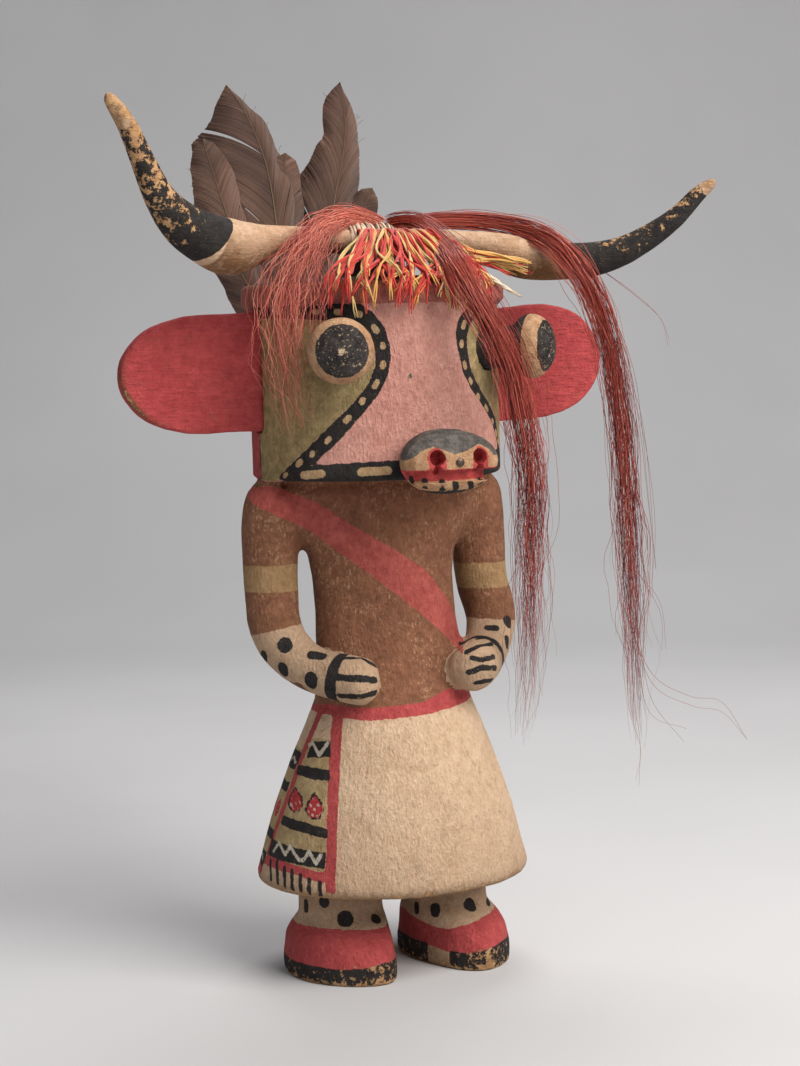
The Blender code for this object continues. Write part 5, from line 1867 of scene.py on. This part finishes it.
def bunched_strand(rng):
    """A strand of the bunch that lies out to the left."""
    spread = rng.uniform(-1, 1)
    start = bar_at(10 * MM)[:3] + [0, -6 * MM, rng.uniform(-3, 2) * MM]
    end = around(rng.uniform(52, 62), rng.uniform(50, 60) * MM, BRIM_TOP + rng.uniform(1.0, 7.0) * MM)
    middle = around(38 + spread * 3, (39 + spread * 2) * MM, BRIM_TOP + rng.uniform(6, 11) * MM)
    rise = (start + middle) / 2 + [0, -2 * MM, 2.5 * MM]
    return [start + [0, 3 * MM, 0], start, rise, middle, (middle + end) / 2 + [0, 0, 0.5 * MM], end]


def yarn_shade(rng):
    """Where a strand's dye lies in the yarn's colours: mostly red or yellow, some orange, some pale."""
    pick = rng.random()
    for limit, shade in ((0.46, 0.05), (0.56, 0.28), (0.86, 0.76)):
        if pick < limit:
            return shade
    return 0.97


def build_yarn():
    """Dyed two-ply strands over the brim, and a bunch of them that lies out to the left."""
    rng = np.random.default_rng(77)
    last = YARN_STRANDS - 1
    routes = [hanging_strand(rng, (k + rng.uniform(-0.4, 0.4)) / last) for k in range(YARN_STRANDS)]
    routes += [bunched_strand(rng) for _ in range(BUNCH_STRANDS)]
    t = np.linspace(0, 1, YARN_POINTS)
    open_up = (0.34 + 0.80 * np.clip(t - 0.8, 0, 1)) * MM
    thick = np.interp(t, [0, 0.9, 1], [0.40, 0.38, 0.18]) * MM
    paths, tones = [], []
    for route in routes:
        path = resampled(eased(route, 8), t)
        path += rng.normal(0, 0.10, (YARN_POINTS, 3)).cumsum(0) * MM * 0.5 * t[:, None]
        shade = yarn_shade(rng)
        phase = rng.uniform(0, 6)
        run = np.gradient(path, axis=0)
        run /= np.linalg.norm(run, axis=1, keepdims=True)
        first = np.cross(run, [0.2, 0.3, 1.0])
        first /= np.linalg.norm(first, axis=1, keepdims=True)
        second = np.cross(run, first)
        for ply in (0, 1):
            a = (phase + math.pi * ply + t * 16)[:, None]
            paths.append(path + (first * np.cos(a) + second * np.sin(a)) * open_up[:, None])
            tones.append(np.clip(shade + rng.normal(0, 0.05), 0, 1))
    look = thread_look("dyed_yarn", YARN_COLOURS, roughness=0.7, bump=0.5, sheen=0.25)
    obj = tube_object("yarn_strands", paths, [thick] * len(paths), 5, look, {"tone": tones})
    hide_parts("yarn_fringe")


# Floor, lights and camera


# The paper in metres: its reach to each side and in front, where it curves up, the curve and its top
STAGE_REACH = 6.0
STAGE_BACK = 0.9
STAGE_CURVE = 0.6
STAGE_TOP = 4.0


def build_stage():
    """Pale paper that curves up behind the figure, square to the camera."""
    points, faces = [], []
    rows = [(-STAGE_REACH, 0.0), (STAGE_BACK, 0.0)]
    for turn in np.linspace(0, math.pi / 2, 14)[1:]:
        rows.append((STAGE_BACK + STAGE_CURVE * math.sin(turn), STAGE_CURVE * (1 - math.cos(turn))))
    rows.append((STAGE_BACK + STAGE_CURVE, STAGE_TOP))
    turn = math.radians(CAMERA_AZIMUTH)
    for y, z in rows:
        for x in (-STAGE_REACH, STAGE_REACH):
            points.append(
                (x * math.cos(turn) + y * math.sin(turn), -x * math.sin(turn) + y * math.cos(turn), z)
            )
    for k in range(len(rows) - 1):
        faces.append((2 * k, 2 * k + 1, 2 * k + 3, 2 * k + 2))
    look = Look("stage_paper", roughness=0.9, specular=0.15)
    shade = look.step(look.noise(3, 3), 0.3, 0.7, out=(0.0, 1.0))
    look.finish(look.mix(shade, (0.55, 0.55, 0.56, 1), (0.59, 0.59, 0.60, 1)))
    floor = new_object("stage_floor", mesh_of("stage_floor", points, faces), look.material)


def area_light(name, azimuth, elevation, distance, size, watts, colour=(1, 1, 1)):
    """A square softbox aimed at the figure's middle. Azimuth runs from straight ahead towards its left."""
    a, e = math.radians(azimuth), math.radians(elevation)
    target = Vector((0, 0, 0.17))
    place = target + distance * Vector((math.sin(a) * math.cos(e), -math.cos(a) * math.cos(e), math.sin(e)))
    data = bpy.data.lights.new(name, "AREA")
    data.shape = "SQUARE"
    data.size = size
    data.energy = watts
    data.color = colour
    obj = bpy.data.objects.new(name, data)
    bpy.context.scene.collection.objects.link(obj)
    obj.location = place
    obj.rotation_euler = (target - place).to_track_quat("-Z", "Y").to_euler()


def build_lights():
    area_light("key", 24, 38, 1.25, 0.95, 24, (1.0, 0.965, 0.92))
    area_light("fill", -62, 14, 1.4, 0.8, 1.6, (1.0, 0.97, 0.94))
    area_light("top", 150, 62, 1.2, 0.6, 7, (1.0, 0.98, 0.96))
    world = bpy.data.worlds.new("studio")
    world.use_nodes = True
    background = world.node_tree.nodes["Background"]
    background.inputs["Color"].default_value = (0.9, 0.93, 1.0, 1)
    background.inputs["Strength"].default_value = 0.20
    bpy.context.scene.world = world


def build_camera():
    data = bpy.data.cameras.new("photo_camera")
    long_side = max(PHOTO_SIZE)
    data.sensor_fit = "AUTO"
    data.sensor_width = SENSOR_WIDTH
    data.lens = SENSOR_WIDTH * CAMERA_DISTANCE / long_side
    data.shift_x = -SHIFT[0] / long_side
    data.shift_y = SHIFT[1] / long_side
    data.clip_start, data.clip_end = 0.05, 20.0
    camera = bpy.data.objects.new("photo_camera", data)
    bpy.context.scene.collection.objects.link(camera)
    turn = Matrix((RIGHT, UP, -FORWARD)).transposed().to_4x4()
    camera.matrix_world = Matrix.Translation(PLACE) @ turn
    bpy.context.scene.camera = camera


def main():
    scene = bpy.context.scene
    scene.view_settings.view_transform = "Standard"
    build_camera()
    build_body()
    build_ear("ear_right")
    build_ear("ear_left")
    for node, (azimuth, aim) in EYES.items():
        build_eye(node, azimuth, aim)
    build_snout()
    build_nail()
    build_horns()
    build_wrap()
    build_cord_end()
    build_feathers()
    build_hair()
    build_yarn()
    build_stage()
    build_lights()
    bpy.context.view_layer.update()


main()
